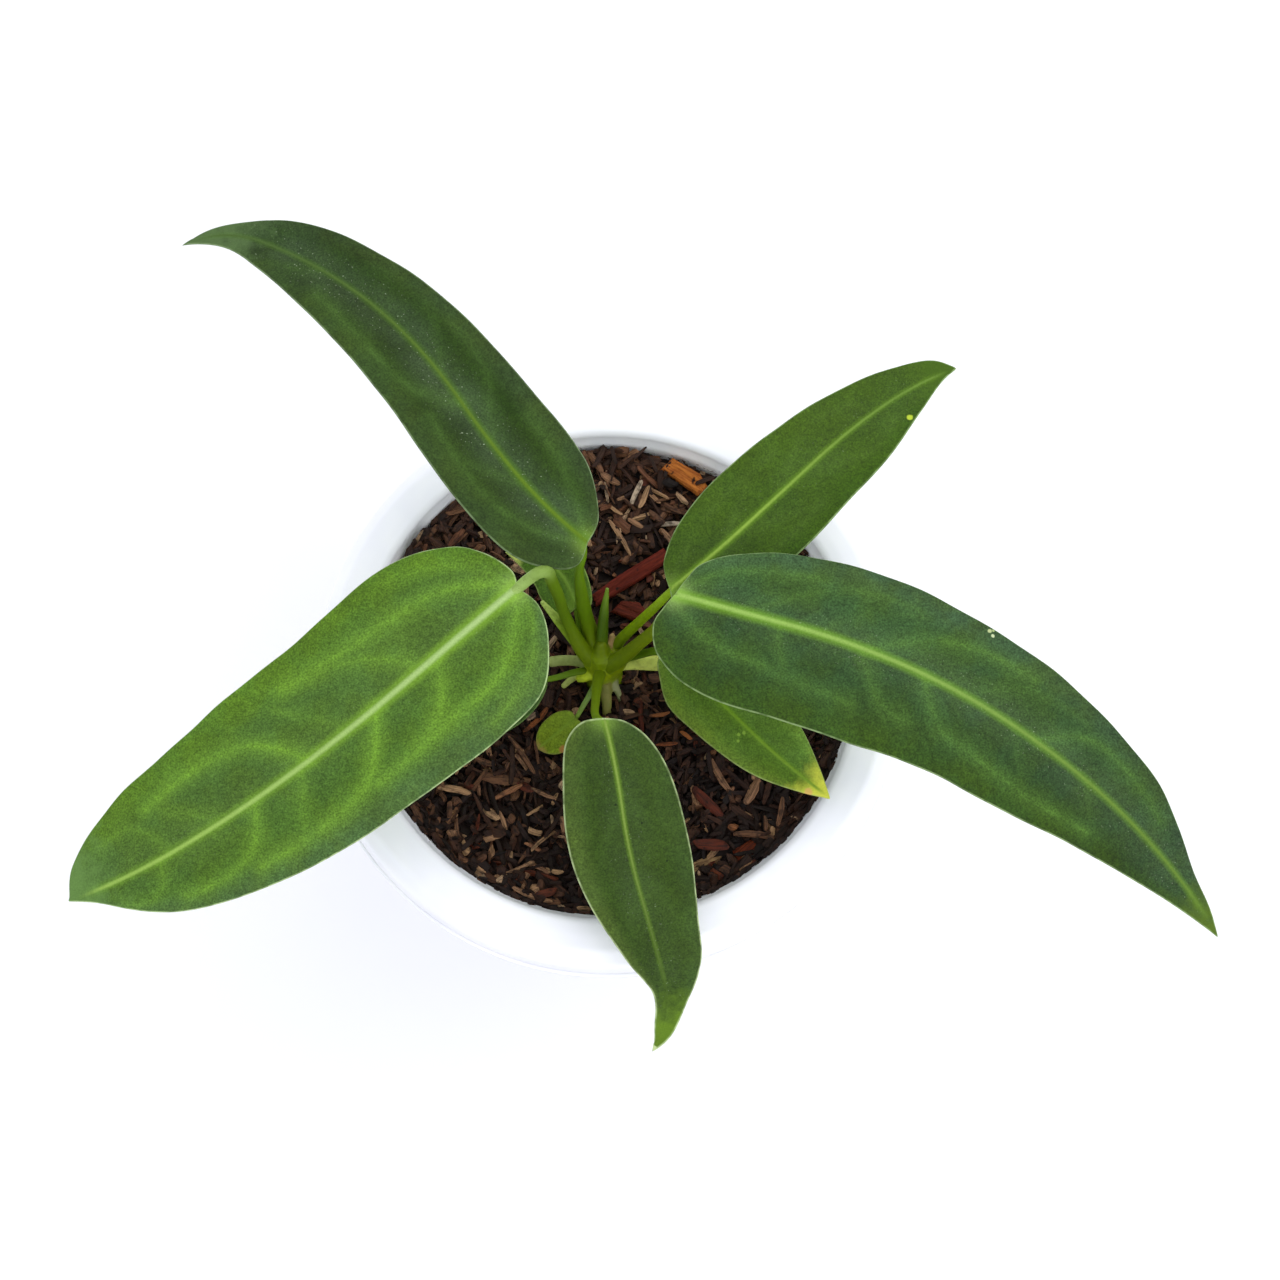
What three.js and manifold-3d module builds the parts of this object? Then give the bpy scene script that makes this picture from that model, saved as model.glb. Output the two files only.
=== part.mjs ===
// Queen anthurium, a young plant with nine leaves, potted in husk mix in a white rolled-rim pot.
// Millimetres, +Z up. The origin is the middle of the pot's underside, on the surface it stands on.
import * as THREE from "three";
import { mergeVertices } from "three/addons/utils/BufferGeometryUtils.js";
import Module from "manifold-3d";

const wasm = await Module();
wasm.setup();

// Driving dimensions of the pot, a thin moulding whose rolled rim is hollow below
const POT_HEIGHT = 115;
const RIM_RADIUS = 74;
const MOUTH_RADIUS = 61;
const RIM_DEPTH = 14.5;
const BASE_RADIUS = 52;
const FOOT_RING = 6;
const PAD_RADIUS = 20;
const WALL = 2;
const FLOOR_LIFT = 3;
const DRAIN_HOLES = 8;
const DRAIN_DIAMETER = 7;
const DRAIN_CIRCLE = 33;
const POT_SIDES = 36;

// Driving dimensions of the mix and the plant; heights named "above the rim" start at POT_HEIGHT
const MIX_LEVEL = -9;
const MIX_MOUND = 1.2;
const MIX_ROUGHNESS = 0.9;
const BACK_HEAP = 2; // how much higher the mix lies at the back of the wall
const LEFT_HEAP = 4.5; // and in the heap at the left, further back
const HUSK_COUNT = 90;
const BLADE_THICKNESS = 0.8;
const MIDRIB_DEPTH = 0.9;
const LONG_WAVE = 0.17; // radians of an edge's long wave for each millimetre along the leaf
const SHORT_WAVE = 0.39;
const STALK_UNDER = 6; // how far a stalk runs on below the midrib
const SEAT = 0.3; // clearance between pieces that touch

// Colours as the eye meets them in daylight
const WHITE = 0xeeeef2;
const HUSK = 0x3a2a20;
const RED_BARK = 0x6a2f1e;
const ORANGE_BARK = 0xa0602e;
const TAN_BARK = 0xa08058;
const STEM_GREEN = 0x6f8a1e;
const PALE_GREEN = 0xa9c765;

const UP = new THREE.Vector3(0, 0, 1);
const plant = new THREE.Group();

/** A repeatable draw between 0 and 1. */
function seeded(seed) {
  let state = seed;
  return () => {
    state = (state * 1664525 + 1013904223) % 4294967296;
    return state / 4294967296;
  };
}

/** Closed geometry made a solid that can be joined and cut. */
function solid(geometry) {
  const bare = geometry.clone();
  bare.deleteAttribute("normal");
  bare.deleteAttribute("uv");
  const merged = mergeVertices(bare, 1e-4);
  return new wasm.Manifold(new wasm.Mesh({
    numProp: 3,
    vertProperties: new Float32Array(merged.attributes.position.array),
    triVerts: new Uint32Array(merged.index.array),
  }));
}

/** A geometry from plain lists of corners and triangles. */
function geometryOf(corners, triangles) {
  const geometry = new THREE.BufferGeometry();
  geometry.setAttribute("position", new THREE.Float32BufferAttribute(corners, 3));
  geometry.setIndex(triangles);
  return geometry;
}

/** Adds one named piece to the plant. */
function add(name, shape, color, roughness) {
  let geometry = shape;
  if (!shape.isBufferGeometry) {
    const mesh = shape.getMesh();
    geometry = geometryOf(Array.from(mesh.vertProperties), Array.from(mesh.triVerts));
  }
  geometry.computeVertexNormals();
  const material = new THREE.MeshStandardMaterial({ color, roughness, metalness: 0 });
  const piece = new THREE.Mesh(geometry, material);
  piece.name = name;
  plant.add(piece);
}

/** A point from x, y and its height above the rim. */
function aboveRim(x, y, height) {
  return new THREE.Vector3(x, y, POT_HEIGHT + height);
}

/** Value at fraction t of evenly spaced stations. */
function along(stations, t) {
  const place = THREE.MathUtils.clamp(t, 0, 1) * (stations.length - 1);
  const low = Math.min(Math.floor(place), stations.length - 2);
  return THREE.MathUtils.lerp(stations[low], stations[low + 1], place - low);
}

/** A round rod of changing radius on a smooth route, closed at both ends; grow fattens it all over. */
function rod(route, radii, { sides = 7, steps = 10, grow = 0 } = {}) {
  const curve = new THREE.CatmullRomCurve3(route, false, "centripetal");
  const frames = curve.computeFrenetFrames(steps, false);
  const corners = [];
  const triangles = [];
  for (let i = 0; i <= steps; i++) {
    const end = i === 0 ? -grow : i === steps ? grow : 0;
    const centre = curve.getPointAt(i / steps).addScaledVector(frames.tangents[i], end);
    const radius = along(radii, i / steps) + grow / Math.cos(Math.PI / sides);
    for (let k = 0; k < sides; k++) {
      const turn = (k / sides) * 2 * Math.PI;
      const corner = centre.clone()
        .addScaledVector(frames.normals[i], radius * Math.cos(turn))
        .addScaledVector(frames.binormals[i], radius * Math.sin(turn));
      corners.push(corner.x, corner.y, corner.z);
    }
  }
  for (let i = 0; i < steps; i++) {
    for (let k = 0; k < sides; k++) {
      const a = i * sides + k;
      const b = i * sides + (k + 1) % sides;
      triangles.push(a, b, b + sides, a, b + sides, a + sides);
    }
  }
  const last = steps * sides;
  for (let k = 1; k < sides - 1; k++) {
    triangles.push(0, k + 1, k, last, last + k, last + k + 1);
  }
  return geometryOf(corners, triangles);
}

// The pot: flat pad and foot ring below, floor lifted between them for the drain holes,
// flared wall, and a rim rolled outwards that ends in a small bead.

/** Radius of the pot's inside at a height above the rim. */
function insideRadius(height) {
  const fraction = (POT_HEIGHT + height - FLOOR_LIFT) / (POT_HEIGHT - FLOOR_LIFT);
  return THREE.MathUtils.lerp(BASE_RADIUS - WALL, MOUTH_RADIUS - 0.8, fraction);
}

/** The pot's section as [radius, height]: up the outside from the pad, over the rim, down inside. */
function potProfile() {
  const top = POT_HEIGHT;
  const pad = PAD_RADIUS;
  const ring = BASE_RADIUS - FOOT_RING;
  const neck = MOUTH_RADIUS + WALL;
  const points = [
    [0, 0], [pad, 0], [pad + 2, FLOOR_LIFT], [ring - 2, FLOOR_LIFT], [ring, 0],
    [BASE_RADIUS - 1, 0], [BASE_RADIUS, 1.2],
    [neck, top - RIM_DEPTH - 2], [neck + 0.3, top - 5], [neck + 1.6, top - 3],
    [neck + 4, top - 2.2], [RIM_RADIUS - 4.4, top - 4], [RIM_RADIUS - 2.6, top - 7.5],
    [RIM_RADIUS - 2.2, top - RIM_DEPTH],
    [RIM_RADIUS - 0.4, top - RIM_DEPTH], [RIM_RADIUS, top - RIM_DEPTH + 0.6],
    [RIM_RADIUS - 0.1, top - RIM_DEPTH + 1.6], [RIM_RADIUS - 0.7, top - RIM_DEPTH + 2.1],
    [RIM_RADIUS - 0.7, top - 9], [RIM_RADIUS - 1.6, top - 5.4], [RIM_RADIUS - 3.4, top - 2.6],
    [RIM_RADIUS - 6, top - 0.8], [RIM_RADIUS - 9, top], [MOUTH_RADIUS + 1.4, top - 0.1],
    [MOUTH_RADIUS + 0.3, top - 0.6], [MOUTH_RADIUS, top - 1.5], [MOUTH_RADIUS - 0.1, top - 3],
    [insideRadius(-3.6), top - 3.6], [BASE_RADIUS - WALL, FLOOR_LIFT + 1.5],
    [BASE_RADIUS - WALL - 0.8, WALL], [ring + 0.8, WALL], [ring - 1.2, FLOOR_LIFT + WALL],
    [pad + 1.2, FLOOR_LIFT + WALL], [pad - 0.8, WALL], [0, WALL],
  ];
  return points.map(([r, z]) => new THREE.Vector2(r, z));
}

let pot = solid(new THREE.LatheGeometry(potProfile(), POT_SIDES).rotateX(Math.PI / 2));
for (let i = 0; i < DRAIN_HOLES; i++) {
  const turn = (i / DRAIN_HOLES) * 2 * Math.PI;
  const hole = new THREE.CylinderGeometry(DRAIN_DIAMETER / 2, DRAIN_DIAMETER / 2, 12, 8);
  hole.rotateX(Math.PI / 2);
  hole.translate(DRAIN_CIRCLE * Math.cos(turn), DRAIN_CIRCLE * Math.sin(turn), FLOOR_LIFT);
  pot = pot.subtract(solid(hole));
}
add("pot", pot, WHITE, 0.3);

// The stem: a short upright crown that stands in the mix, with its roots, the cut ends of
// old leaf stalks and a few roots in the air, all grown together.

const STEM = [
  { route: [[-1, 0, -52], [-1, 0, -28], [-1, 0.4, -10], [-1, 1.4, 0], [-1.3, 2.6, 5]],
    radii: [2.5, 4.4, 5, 5, 3.4], sides: 12, steps: 8 },
  // the crown's tip, between the leaf stalks
  { route: [[-1, 1.6, 0], [-1.4, 3.6, 4.6], [-1.5, 5, 8.4]], radii: [3, 2.4, 1.1], sides: 8, steps: 4 },
  // broad bases of the leaf stalks, grown into the crown
  { route: [[-1, 0.8, -4], [-3.6, 2.2, 0.6], [-6, 4, 5]], radii: [3.2, 2.9, 2.1], sides: 8, steps: 4 },
  { route: [[-1, 1, -2], [-2.6, 4.4, 2], [-4, 7.6, 6]], radii: [3, 2.6, 2.2], sides: 8, steps: 4 },
  { route: [[0, 0.6, -3], [2.2, 1.1, 2.6], [4.6, 1.8, 8.2]], radii: [3, 2.8, 2.1], sides: 8, steps: 4 },
  { route: [[0, 1, -2], [1.6, 4, 2], [3.4, 6, 6]], radii: [2.6, 2.2, 1.7], sides: 8, steps: 4 },
  { route: [[-0.8, 0, -3], [-1.6, -2, 1], [-2.2, -4.2, 4.8]], radii: [2.6, 2.4, 1.9], sides: 8, steps: 4 },
  // old leaf stalk cut off square on the right, and the grey-green one on the left
  { route: [[0, 2.2, -2.4], [6, 2.2, -1.2], [12.8, 1.5, 0.8]], radii: [2, 1.9, 2], steps: 4 },
  { route: [[-2, 2, -4], [-9, 3.2, -3.2], [-14.6, 2.8, -3]], radii: [1.6, 1.4, 1.4], steps: 4 },
  // roots in the air
  { route: [[-2, 1, -3], [-8, -0.6, -4.4], [-11.4, -2.9, -6.4]], radii: [1.2, 1.1, 0.8], steps: 5 },
  { route: [[-1.5, 0.6, -1.6], [-7.7, -2, -3]], radii: [1.3, 1.1], steps: 3 },
  { route: [[-0.8, -1, -2], [-0.3, -6, -6.4], [-0.2, -11, -10.5]], radii: [1.4, 1.4, 1.2], steps: 5 },
  { route: [[0.4, 0, -3], [2.6, -4.2, -6.6], [4, -7.4, -11]], radii: [1, 0.9, 0.8], steps: 5 },
  { route: [[0, 2.6, 2], [1.3, 7.6, 6.4]], radii: [1.1, 0.8], steps: 3 },
  // roots in the mix
  { route: [[-1, 0, -30], [12, 9, -44], [27, 20, -70]], radii: [1.5, 1.3, 0.9], sides: 5, steps: 6 },
  { route: [[-1, 0, -34], [-13, 10, -50], [-26, 24, -78]], radii: [1.5, 1.3, 0.9], sides: 5, steps: 6 },
  { route: [[-1, 0, -38], [-14, -12, -52], [-30, -18, -82]], radii: [1.5, 1.3, 0.9], sides: 5, steps: 6 },
  { route: [[-1, 0, -42], [9, -14, -60], [22, -30, -86]], radii: [1.5, 1.3, 0.9], sides: 5, steps: 6 },
  { route: [[-1, 0, -48], [0, 4, -70], [-4, 6, -96]], radii: [1.7, 1.4, 1], sides: 5, steps: 6 },
];

/** The whole stem with its roots and stubs, fattened all over by grow. */
function stemSolid(grow) {
  const rods = STEM.map(({ route, radii, ...rest }) =>
    solid(rod(route.map((p) => aboveRim(...p)), radii, { ...rest, grow })));
  return rods.reduce((whole, next) => whole.add(next));
}

const stemRoom = stemSolid(SEAT);
add("stem_with_roots", stemSolid(0), STEM_GREEN, 0.45);

// The leaves. Each one is a stalk and a heart-based blade that grew as one piece. The blade's
// midrib starts at base, on the end of the stalk, and turns through the headings (0 is +X, 90 is
// +Y) and pitches, at evenly spaced stations. The outline on each side is a list of
// [distance along the midrib, distance out from it].

const LEAVES = {
  leaf_back_left: {
    color: 0x3e5c2c, base: [-4, 20.2, 42], length: 131, roll: [4, 0], curl: 0.004, wave: 0.4,
    heading: [144.2, 131.4, 124.6, 134.5, 145.1, 153.4, 194.2], pitch: [14, 2, -24],
    left: [[-1.2, 5.6], [2.8, 10.4], [12, 14.5], [31, 14.6], [57, 14], [81, 11.8], [98, 8.3],
      [115, 4.2], [126, 1.3]],
    right: [[1.5, 6.1], [8.5, 12], [17, 15], [31, 15.3], [55, 13.6], [77, 11.5], [98, 9.3],
      [114, 4.1], [126, 1.4]],
    stalk: [[-1.6, 2.6, 1], [-4, 7.8, 6.4], [-5.4, 11, 17], [-6, 13.4, 26], [-6.2, 16, 34],
      [-5.2, 18.6, 39.5]],
    stalkRadii: [2.1, 1.9, 1.8, 1.75, 1.65, 1.35],
  },
  leaf_left: {
    color: 0x5a8a2e, base: [-20, 9, 44], length: 133, roll: [0, -4], curl: -0.004, wave: 0.5,
    heading: [-139.4, -140.1, -145.8, -153.5, -166], pitch: [-4, -14, -28],
    left: [[-1, 6.4], [2.5, 14], [11, 21.9], [25, 23.4], [47, 22.3], [68, 20.9], [87, 18.1],
      [107, 12.7], [124, 3.4]],
    right: [[-1.6, 4.1], [0.8, 12], [6.4, 18.6], [20, 24.7], [45, 24.7], [74, 23.8], [103, 19.8],
      [119, 14.8], [130, 7.7]],
    stalk: [[-3, 2, 0], [-6.4, 4.4, 6], [-9.8, 8.8, 18], [-11.2, 10.6, 32], [-12.4, 11.4, 42],
      [-13, 11.6, 47.6], [-14.6, 11.2, 49.3], [-17, 10.3, 47.4]],
    stalkRadii: [2.3, 1.9, 1.55, 1.4, 1.4, 1.45, 1.5, 1.45],
  },
  leaf_back_right: {
    color: 0x466a2a, base: [15, 11.4, 33], length: 89.5, roll: [0, 0], curl: 0.004, wave: 0.5,
    heading: [36.1, 42, 43.7, 37.5, 26.1], pitch: [14, 2, -18],
    left: [[1.5, 4], [4, 6.9], [11.6, 10.8], [24, 13], [36.7, 12.7], [48, 11.4], [61.5, 9.6],
      [74.4, 6.9], [84, 4]],
    right: [[-1.5, 4.5], [1, 9], [7, 12], [18, 13.3], [31, 13.5], [45, 12.4], [59.6, 10.8],
      [73.7, 6.3], [84, 1.8]],
    stalk: [[0.6, 3.2, 0], [3, 5.9, 5.4], [8.2, 8.2, 17], [12.5, 9.8, 27]],
    stalkRadii: [1.8, 1.4, 1.25, 1.15],
  },
  leaf_right: {
    color: 0x3f6244, base: [16, 7.4, 44], length: 157, roll: [-4, 0], curl: -0.003, wave: 0.5,
    heading: [-17.8, -15.6, -22.4, -31, -37.1, -44.6, -52.1], pitch: [6, -10, -34],
    left: [[1.5, 4.5], [4, 9], [12, 13.9], [27, 17.8], [52, 18.6], [76, 17.2], [99, 15.1],
      [119, 11.2], [136, 5.2], [149, 2]],
    right: [[-1.5, 4], [-2.4, 9], [1.5, 15.8], [13, 20.8], [40, 21.8], [63, 20.1], [91, 17.5],
      [114, 12.8], [135, 7], [149, 2.6]],
    stalk: [[0, 0.8, 1], [4.1, 1.6, 8], [8, 2.7, 17], [11.5, 3.6, 26], [14.4, 5.4, 37]],
    stalkRadii: [2.2, 1.8, 1.6, 1.5, 1.3],
  },
  leaf_front: {
    color: 0x3e5c2e, base: [-0.4, -17.8, 27], length: 86, roll: [0, 0], curl: -0.004, wave: 0.4,
    heading: [-74.8, -81.9, -72.6, -74.5, -127.1], pitch: [-8, -22, -46],
    left: [[1.9, 4.5], [6.5, 8.8], [14, 12], [25, 13.9], [38, 13.9], [52, 11.5], [62.5, 9.8],
      [71, 4.7], [80, 2.2]],
    right: [[-0.4, 5.2], [2.5, 9.4], [8, 11.7], [20, 13.6], [32, 13.7], [44, 11.5], [57, 7.5],
      [67, 3.4], [78, 2.2]],
    stalk: [[-1.4, 0, 0], [-2.2, -4, 4.6], [-2.6, -10.6, 12.6], [-2.4, -16, 20.2]],
    stalkRadii: [2, 1.6, 1.35, 1.2],
  },
  leaf_front_right: {
    color: 0x55782c, base: [14, 0.5, 17], length: 53.5, roll: [0, 0], curl: -0.004, wave: 0.3,
    heading: [-40.1, -43.2, -43.2, -37.6, -34.4], pitch: [-4, -12, -20],
    left: [[0, 3], [2.5, 6], [9, 9], [20, 10.5], [30, 10.6], [38, 8.8], [46.5, 4.6]],
    right: [[0, 2.7], [2, 4.8], [9, 9.3], [18, 9.5], [28, 8.7], [37, 6.8], [47, 3]],
    stalk: [[1.4, 2.4, -1.4], [6.4, 2.8, 2.6], [9.8, 2.2, 9], [12.2, 1.2, 14.2]],
    stalkRadii: [1.1, 1, 1, 1],
  },
  leaf_back_small: {
    color: 0x4b7030, base: [-7.6, 13.2, 9.4], length: 24.5, roll: [0, 0], curl: 0.006, wave: 0.2,
    heading: [105, 115, 145, 165, 172], pitch: [8, 2, -8],
    left: [[-1, 3], [1, 6], [6, 7.4], [11.5, 6.8], [17, 4.8], [21.5, 2]],
    right: [[-1, 2.6], [1, 4.4], [6, 5.4], [11.5, 6], [17, 4.8], [21.5, 2]],
    stalk: [[-2.4, 2.8, -4.4], [-5, 6.4, -1.6], [-6.6, 9.8, 4]],
    stalkRadii: [1.2, 1, 0.9],
  },
  leaf_front_small: {
    color: 0x7c9a1e, base: [-7.8, -11.8, -1.4], length: 12.2, roll: [0, 0], curl: 0.02, wave: 0,
    heading: [-142, -142, -142], pitch: [-4, -14, -20],
    left: [[-0.4, 2.4], [1.6, 4.4], [5, 5.2], [8.6, 4.4], [11, 2.4]],
    right: [[-0.2, 2], [2, 3.8], [5.2, 4.4], [8.6, 3.8], [11, 2.2]],
    stalk: [[-1.8, -0.6, -4.4], [-4, -5, -2.2], [-5.8, -8.6, -0.8]],
    stalkRadii: [0.9, 0.8, 0.7],
  },
  leaf_low_left: {
    color: 0x466a2a, base: [-16.4, -2.6, 0.8], length: 18, roll: [0, 0], curl: 0.01, wave: 0,
    heading: [-127, -128, -136], pitch: [-6, -12, -18],
    left: [[-0.6, 1.6], [2, 2.9], [6.4, 3.4], [11.5, 2.6], [15.5, 1.2]],
    right: [[-0.6, 1.8], [2, 3.4], [6.4, 4], [11.5, 3.2], [15.5, 1.4]],
    stalk: [[-3, 0.9, -3], [-7.8, -0.4, -0.6], [-12, -2, 1]],
    stalkRadii: [1, 0.9, 0.8],
  },
};

/** The midrib in fine steps: points, headings and pitches from the sinus to the tip. */
function midribOf(leaf) {
  const steps = 80;
  const points = [aboveRim(...leaf.base)];
  for (let i = 0; i < steps; i++) {
    const t = (i + 0.5) / steps;
    points.push(points[i].clone().addScaledVector(directionOf(leaf, t), leaf.length / steps));
  }
  return points;
}

/** Direction of the midrib at fraction t of its length. */
function directionOf(leaf, t) {
  const heading = THREE.MathUtils.degToRad(along(leaf.heading, t));
  const pitch = THREE.MathUtils.degToRad(along(leaf.pitch, t));
  const level = Math.cos(pitch);
  return new THREE.Vector3(Math.cos(heading) * level, Math.sin(heading) * level, Math.sin(pitch));
}

/**
 * Point of the blade's middle surface: distance a along the midrib (less than 0 in the lobes
 * behind it), distance b to the left, and v, the fraction of the way out to the edge.
 * The section dishes with the square of b, and the edge rises and falls in waves.
 */
function bladePoint(leaf, points, a, b, v) {
  const t = THREE.MathUtils.clamp(a / leaf.length, 0, 1);
  const place = t * (points.length - 1);
  const low = Math.min(Math.floor(place), points.length - 2);
  const onRib = points[low].clone().lerp(points[low + 1], place - low);
  const forward = directionOf(leaf, t);
  onRib.addScaledVector(forward, Math.min(a, 0));
  const side = new THREE.Vector3().crossVectors(UP, forward).normalize();
  const roll = THREE.MathUtils.degToRad(along(leaf.roll, t));
  side.applyAxisAngle(forward, roll);
  const normal = new THREE.Vector3().crossVectors(forward, side);
  const phase = b > 0 ? 0 : 2;
  const wave = Math.sin(a * LONG_WAVE + phase) + 0.5 * Math.sin(a * SHORT_WAVE + 2 * phase);
  const ripple = leaf.wave * wave * v * v;
  onRib.addScaledVector(side, b);
  return onRib.addScaledVector(normal, leaf.curl * b * b + ripple);
}

/** The outline points of one side as a smooth curve from the sinus to the tip. */
function outlineOf(leaf, side) {
  const list = [[0, 0], ...leaf[side], [leaf.length, 0]];
  return new THREE.SplineCurve(list.map(([a, b]) => new THREE.Vector2(a, b)));
}

/**
 * The blade: a grid of rows from the midrib out to both edges, made BLADE_THICKNESS thick.
 * Rows leave the midrib at right angles, except near the sinus, where they fan out from it
 * into the lobes, so a row there starts a little further along than its ends lie.
 */
function bladeGeometry(leaf) {
  const points = midribOf(leaf);
  const edges = [outlineOf(leaf, "right"), outlineOf(leaf, "left")];
  const rows = 2 * (leaf.left.length + 1);
  const columns = 2;
  const width = 2 * columns + 1;
  const middle = [];
  const ribs = [];
  for (let i = 0; i <= rows; i++) {
    const t = i / rows;
    const [right, left] = edges.map((edge) => edge.getPoint(t));
    const fan = 9 * t * (1 - t) / (t + 0.05);
    const mean = (right.x + left.x) / 2;
    const start = i === rows ? leaf.length : (mean + Math.hypot(mean, fan)) / 2;
    const reach = i === 0 || i === rows ? 0 : columns;
    for (let j = -reach; j <= reach; j++) {
      const v = Math.abs(j) / columns;
      const edge = j < 0 ? right : left;
      const a = THREE.MathUtils.lerp(start, edge.x, v);
      const b = Math.sign(j) * edge.y * v;
      const centre = bladePoint(leaf, points, a, b, v);
      const ahead = bladePoint(leaf, points, a + 0.5, b, v);
      const aside = bladePoint(leaf, points, a, b + 0.5, v);
      const normal = ahead.sub(centre).cross(aside.sub(centre)).normalize();
      middle.push({ centre, normal });
      ribs.push(j === 0 ? MIDRIB_DEPTH * (1 - t) : 0);
    }
  }
  const count = middle.length;
  const corners = [];
  for (const face of [1, -1]) {
    middle.forEach(({ centre, normal }, k) => {
      const offset = face * BLADE_THICKNESS / 2 - (face < 0 ? ribs[k] : 0);
      const corner = centre.clone().addScaledVector(normal, offset);
      corners.push(corner.x, corner.y, corner.z);
    });
  }
  const at = (i, j) => (i === 0 ? 0 : i === rows ? count - 1 : 1 + (i - 1) * width + j + columns);
  const triangles = [];
  const both = (p, q, r) => {
    triangles.push(p, q, r, count + p, count + r, count + q);
  };
  for (let i = 0; i < rows; i++) {
    for (let j = -columns; j < columns; j++) {
      if (i === 0) {
        both(0, at(1, j), at(1, j + 1));
      } else if (i === rows - 1) {
        both(at(i, j), count - 1, at(i, j + 1));
      } else {
        both(at(i, j), at(i + 1, j), at(i + 1, j + 1));
        both(at(i, j), at(i + 1, j + 1), at(i, j + 1));
      }
    }
    const rightEdge = [at(i, -columns), at(i + 1, -columns)];
    const leftEdge = [at(i + 1, columns), at(i, columns)];
    for (const [p, q] of [rightEdge, leftEdge]) {
      triangles.push(count + p, count + q, q, count + p, q, p);
    }
  }
  return geometryOf(corners, triangles);
}

/** The stalk's route: the listed points, then the base and a short run under the midrib. */
function stalkOf(leaf) {
  const route = leaf.stalk.map((p) => aboveRim(...p));
  const points = midribOf(leaf);
  const under = Math.min(STALK_UNDER, leaf.length * 0.12);
  const sink = BLADE_THICKNESS / 2 + 0.15;
  for (const a of [0, under]) {
    route.push(bladePoint(leaf, points, a, 0, 0).addScaledVector(UP, -sink));
  }
  return rod(route, [...leaf.stalkRadii, 0.9 * leaf.stalkRadii.at(-1), 0.5], { steps: 14 });
}

for (const [name, leaf] of Object.entries(LEAVES)) {
  const whole = solid(bladeGeometry(leaf)).add(solid(stalkOf(leaf)));
  add(name, whole.subtract(stemRoom), leaf.color, 0.55);
}

// The new leaf, still rolled up, and the pale sheath leaf beside it
const newLeaf = rod([[-1.4, 3, 2], [-1.2, 7, 9], [-0.6, 11, 16], [0.2, 14.6, 22.4]]
  .map((p) => aboveRim(...p)), [1.6, 1.5, 1.15, 0.4], { sides: 8, steps: 8 });
add("new_leaf_rolled", solid(newLeaf).subtract(stemRoom), STEM_GREEN, 0.5);
const sheathLeaf = rod([[-4, 3, -2], [-8.2, 6.2, 2.4], [-11.8, 9.6, 11], [-15.4, 12.2, 19]]
  .map((p) => aboveRim(...p)), [0.8, 0.8, 1.2, 1], { sides: 8, steps: 8 });
add("sheath_leaf", solid(sheathLeaf).subtract(stemRoom), PALE_GREEN, 0.5);

// The mix: chopped husk and bark filled to just below the rim. Its top is mounded and rough,
// with slivers of husk lying half sunk in it, and it has a hole that the stem stands in.

/** Height of the mix at a point, above the rim. */
function mixHeight(x, y) {
  const dome = 1 - (x * x + y * y) / (MOUTH_RADIUS * MOUTH_RADIUS);
  const rough = Math.sin(0.55 * x + 1.3) * Math.cos(0.5 * y) + 0.6 * Math.sin(0.9 * y - 0.4 * x);
  const back = BACK_HEAP * THREE.MathUtils.clamp((y - 28) / 30, 0, 1) ** 2;
  const left = LEFT_HEAP * Math.exp(-((x + 48) ** 2 + (y - 30) ** 2) / 300);
  return MIX_LEVEL + MIX_MOUND * dome + 0.6 * MIX_ROUGHNESS * rough + back + left;
}

/** The bulk of the mix: rings across the top, then down the wall and back over the pot's floor. */
function mixBulk() {
  const sides = POT_SIDES;
  const rings = [];
  const edge = insideRadius(MIX_LEVEL) - 1.4 * SEAT;
  for (const part of [0.14, 0.28, 0.42, 0.56, 0.7, 0.82, 0.92, 1]) {
    rings.push((turn) => {
      const x = part * edge * Math.cos(turn);
      const y = part * edge * Math.sin(turn);
      return [x, y, POT_HEIGHT + mixHeight(x, y)];
    });
  }
  const foot = BASE_RADIUS - WALL;
  const ring = BASE_RADIUS - FOOT_RING;
  const low = WALL + SEAT;
  const high = low + FLOOR_LIFT;
  for (const [r, z] of [[foot - 0.5, FLOOR_LIFT + 1.7], [foot - 1.4, low], [ring + 1, low],
    [ring - 1, high], [PAD_RADIUS + 1, high], [PAD_RADIUS - 1, low]]) {
    rings.push((turn) => [r * Math.cos(turn), r * Math.sin(turn), z]);
  }
  const corners = [0, 0, POT_HEIGHT + mixHeight(0, 0)];
  for (const ringAt of rings) {
    for (let k = 0; k < sides; k++) {
      corners.push(...ringAt((k / sides) * 2 * Math.PI));
    }
  }
  const underside = corners.length / 3;
  corners.push(0, 0, low);
  const triangles = [];
  for (let k = 0; k < sides; k++) {
    const next = (k + 1) % sides;
    triangles.push(0, 1 + k, 1 + next);
    for (let i = 0; i < rings.length - 1; i++) {
      const a = 1 + i * sides;
      const b = a + sides;
      triangles.push(a + k, b + k, b + next, a + k, b + next, a + next);
    }
    const last = 1 + (rings.length - 1) * sides;
    triangles.push(underside, last + next, last + k);
  }
  return geometryOf(corners, triangles);
}

/** One sliver of husk: a long pointed chip lying on the mix, less than half sunk. */
function sliver(draw) {
  const length = 6 + 8 * draw();
  const radius = (MOUTH_RADIUS - 5 - length / 2) * Math.sqrt(draw());
  const turn = 2 * Math.PI * draw();
  const x = radius * Math.cos(turn);
  const y = radius * Math.sin(turn);
  const husk = new THREE.OctahedronGeometry(1);
  husk.scale(length / 2, 1 + draw(), 0.9 + 0.5 * draw());
  husk.rotateX(draw() - 0.5);
  husk.rotateY(0.3 * (draw() - 0.5));
  husk.rotateZ(2 * Math.PI * draw());
  husk.translate(x, y, POT_HEIGHT + mixHeight(x, y) + 0.2 + 0.5 * draw());
  return husk;
}

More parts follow.
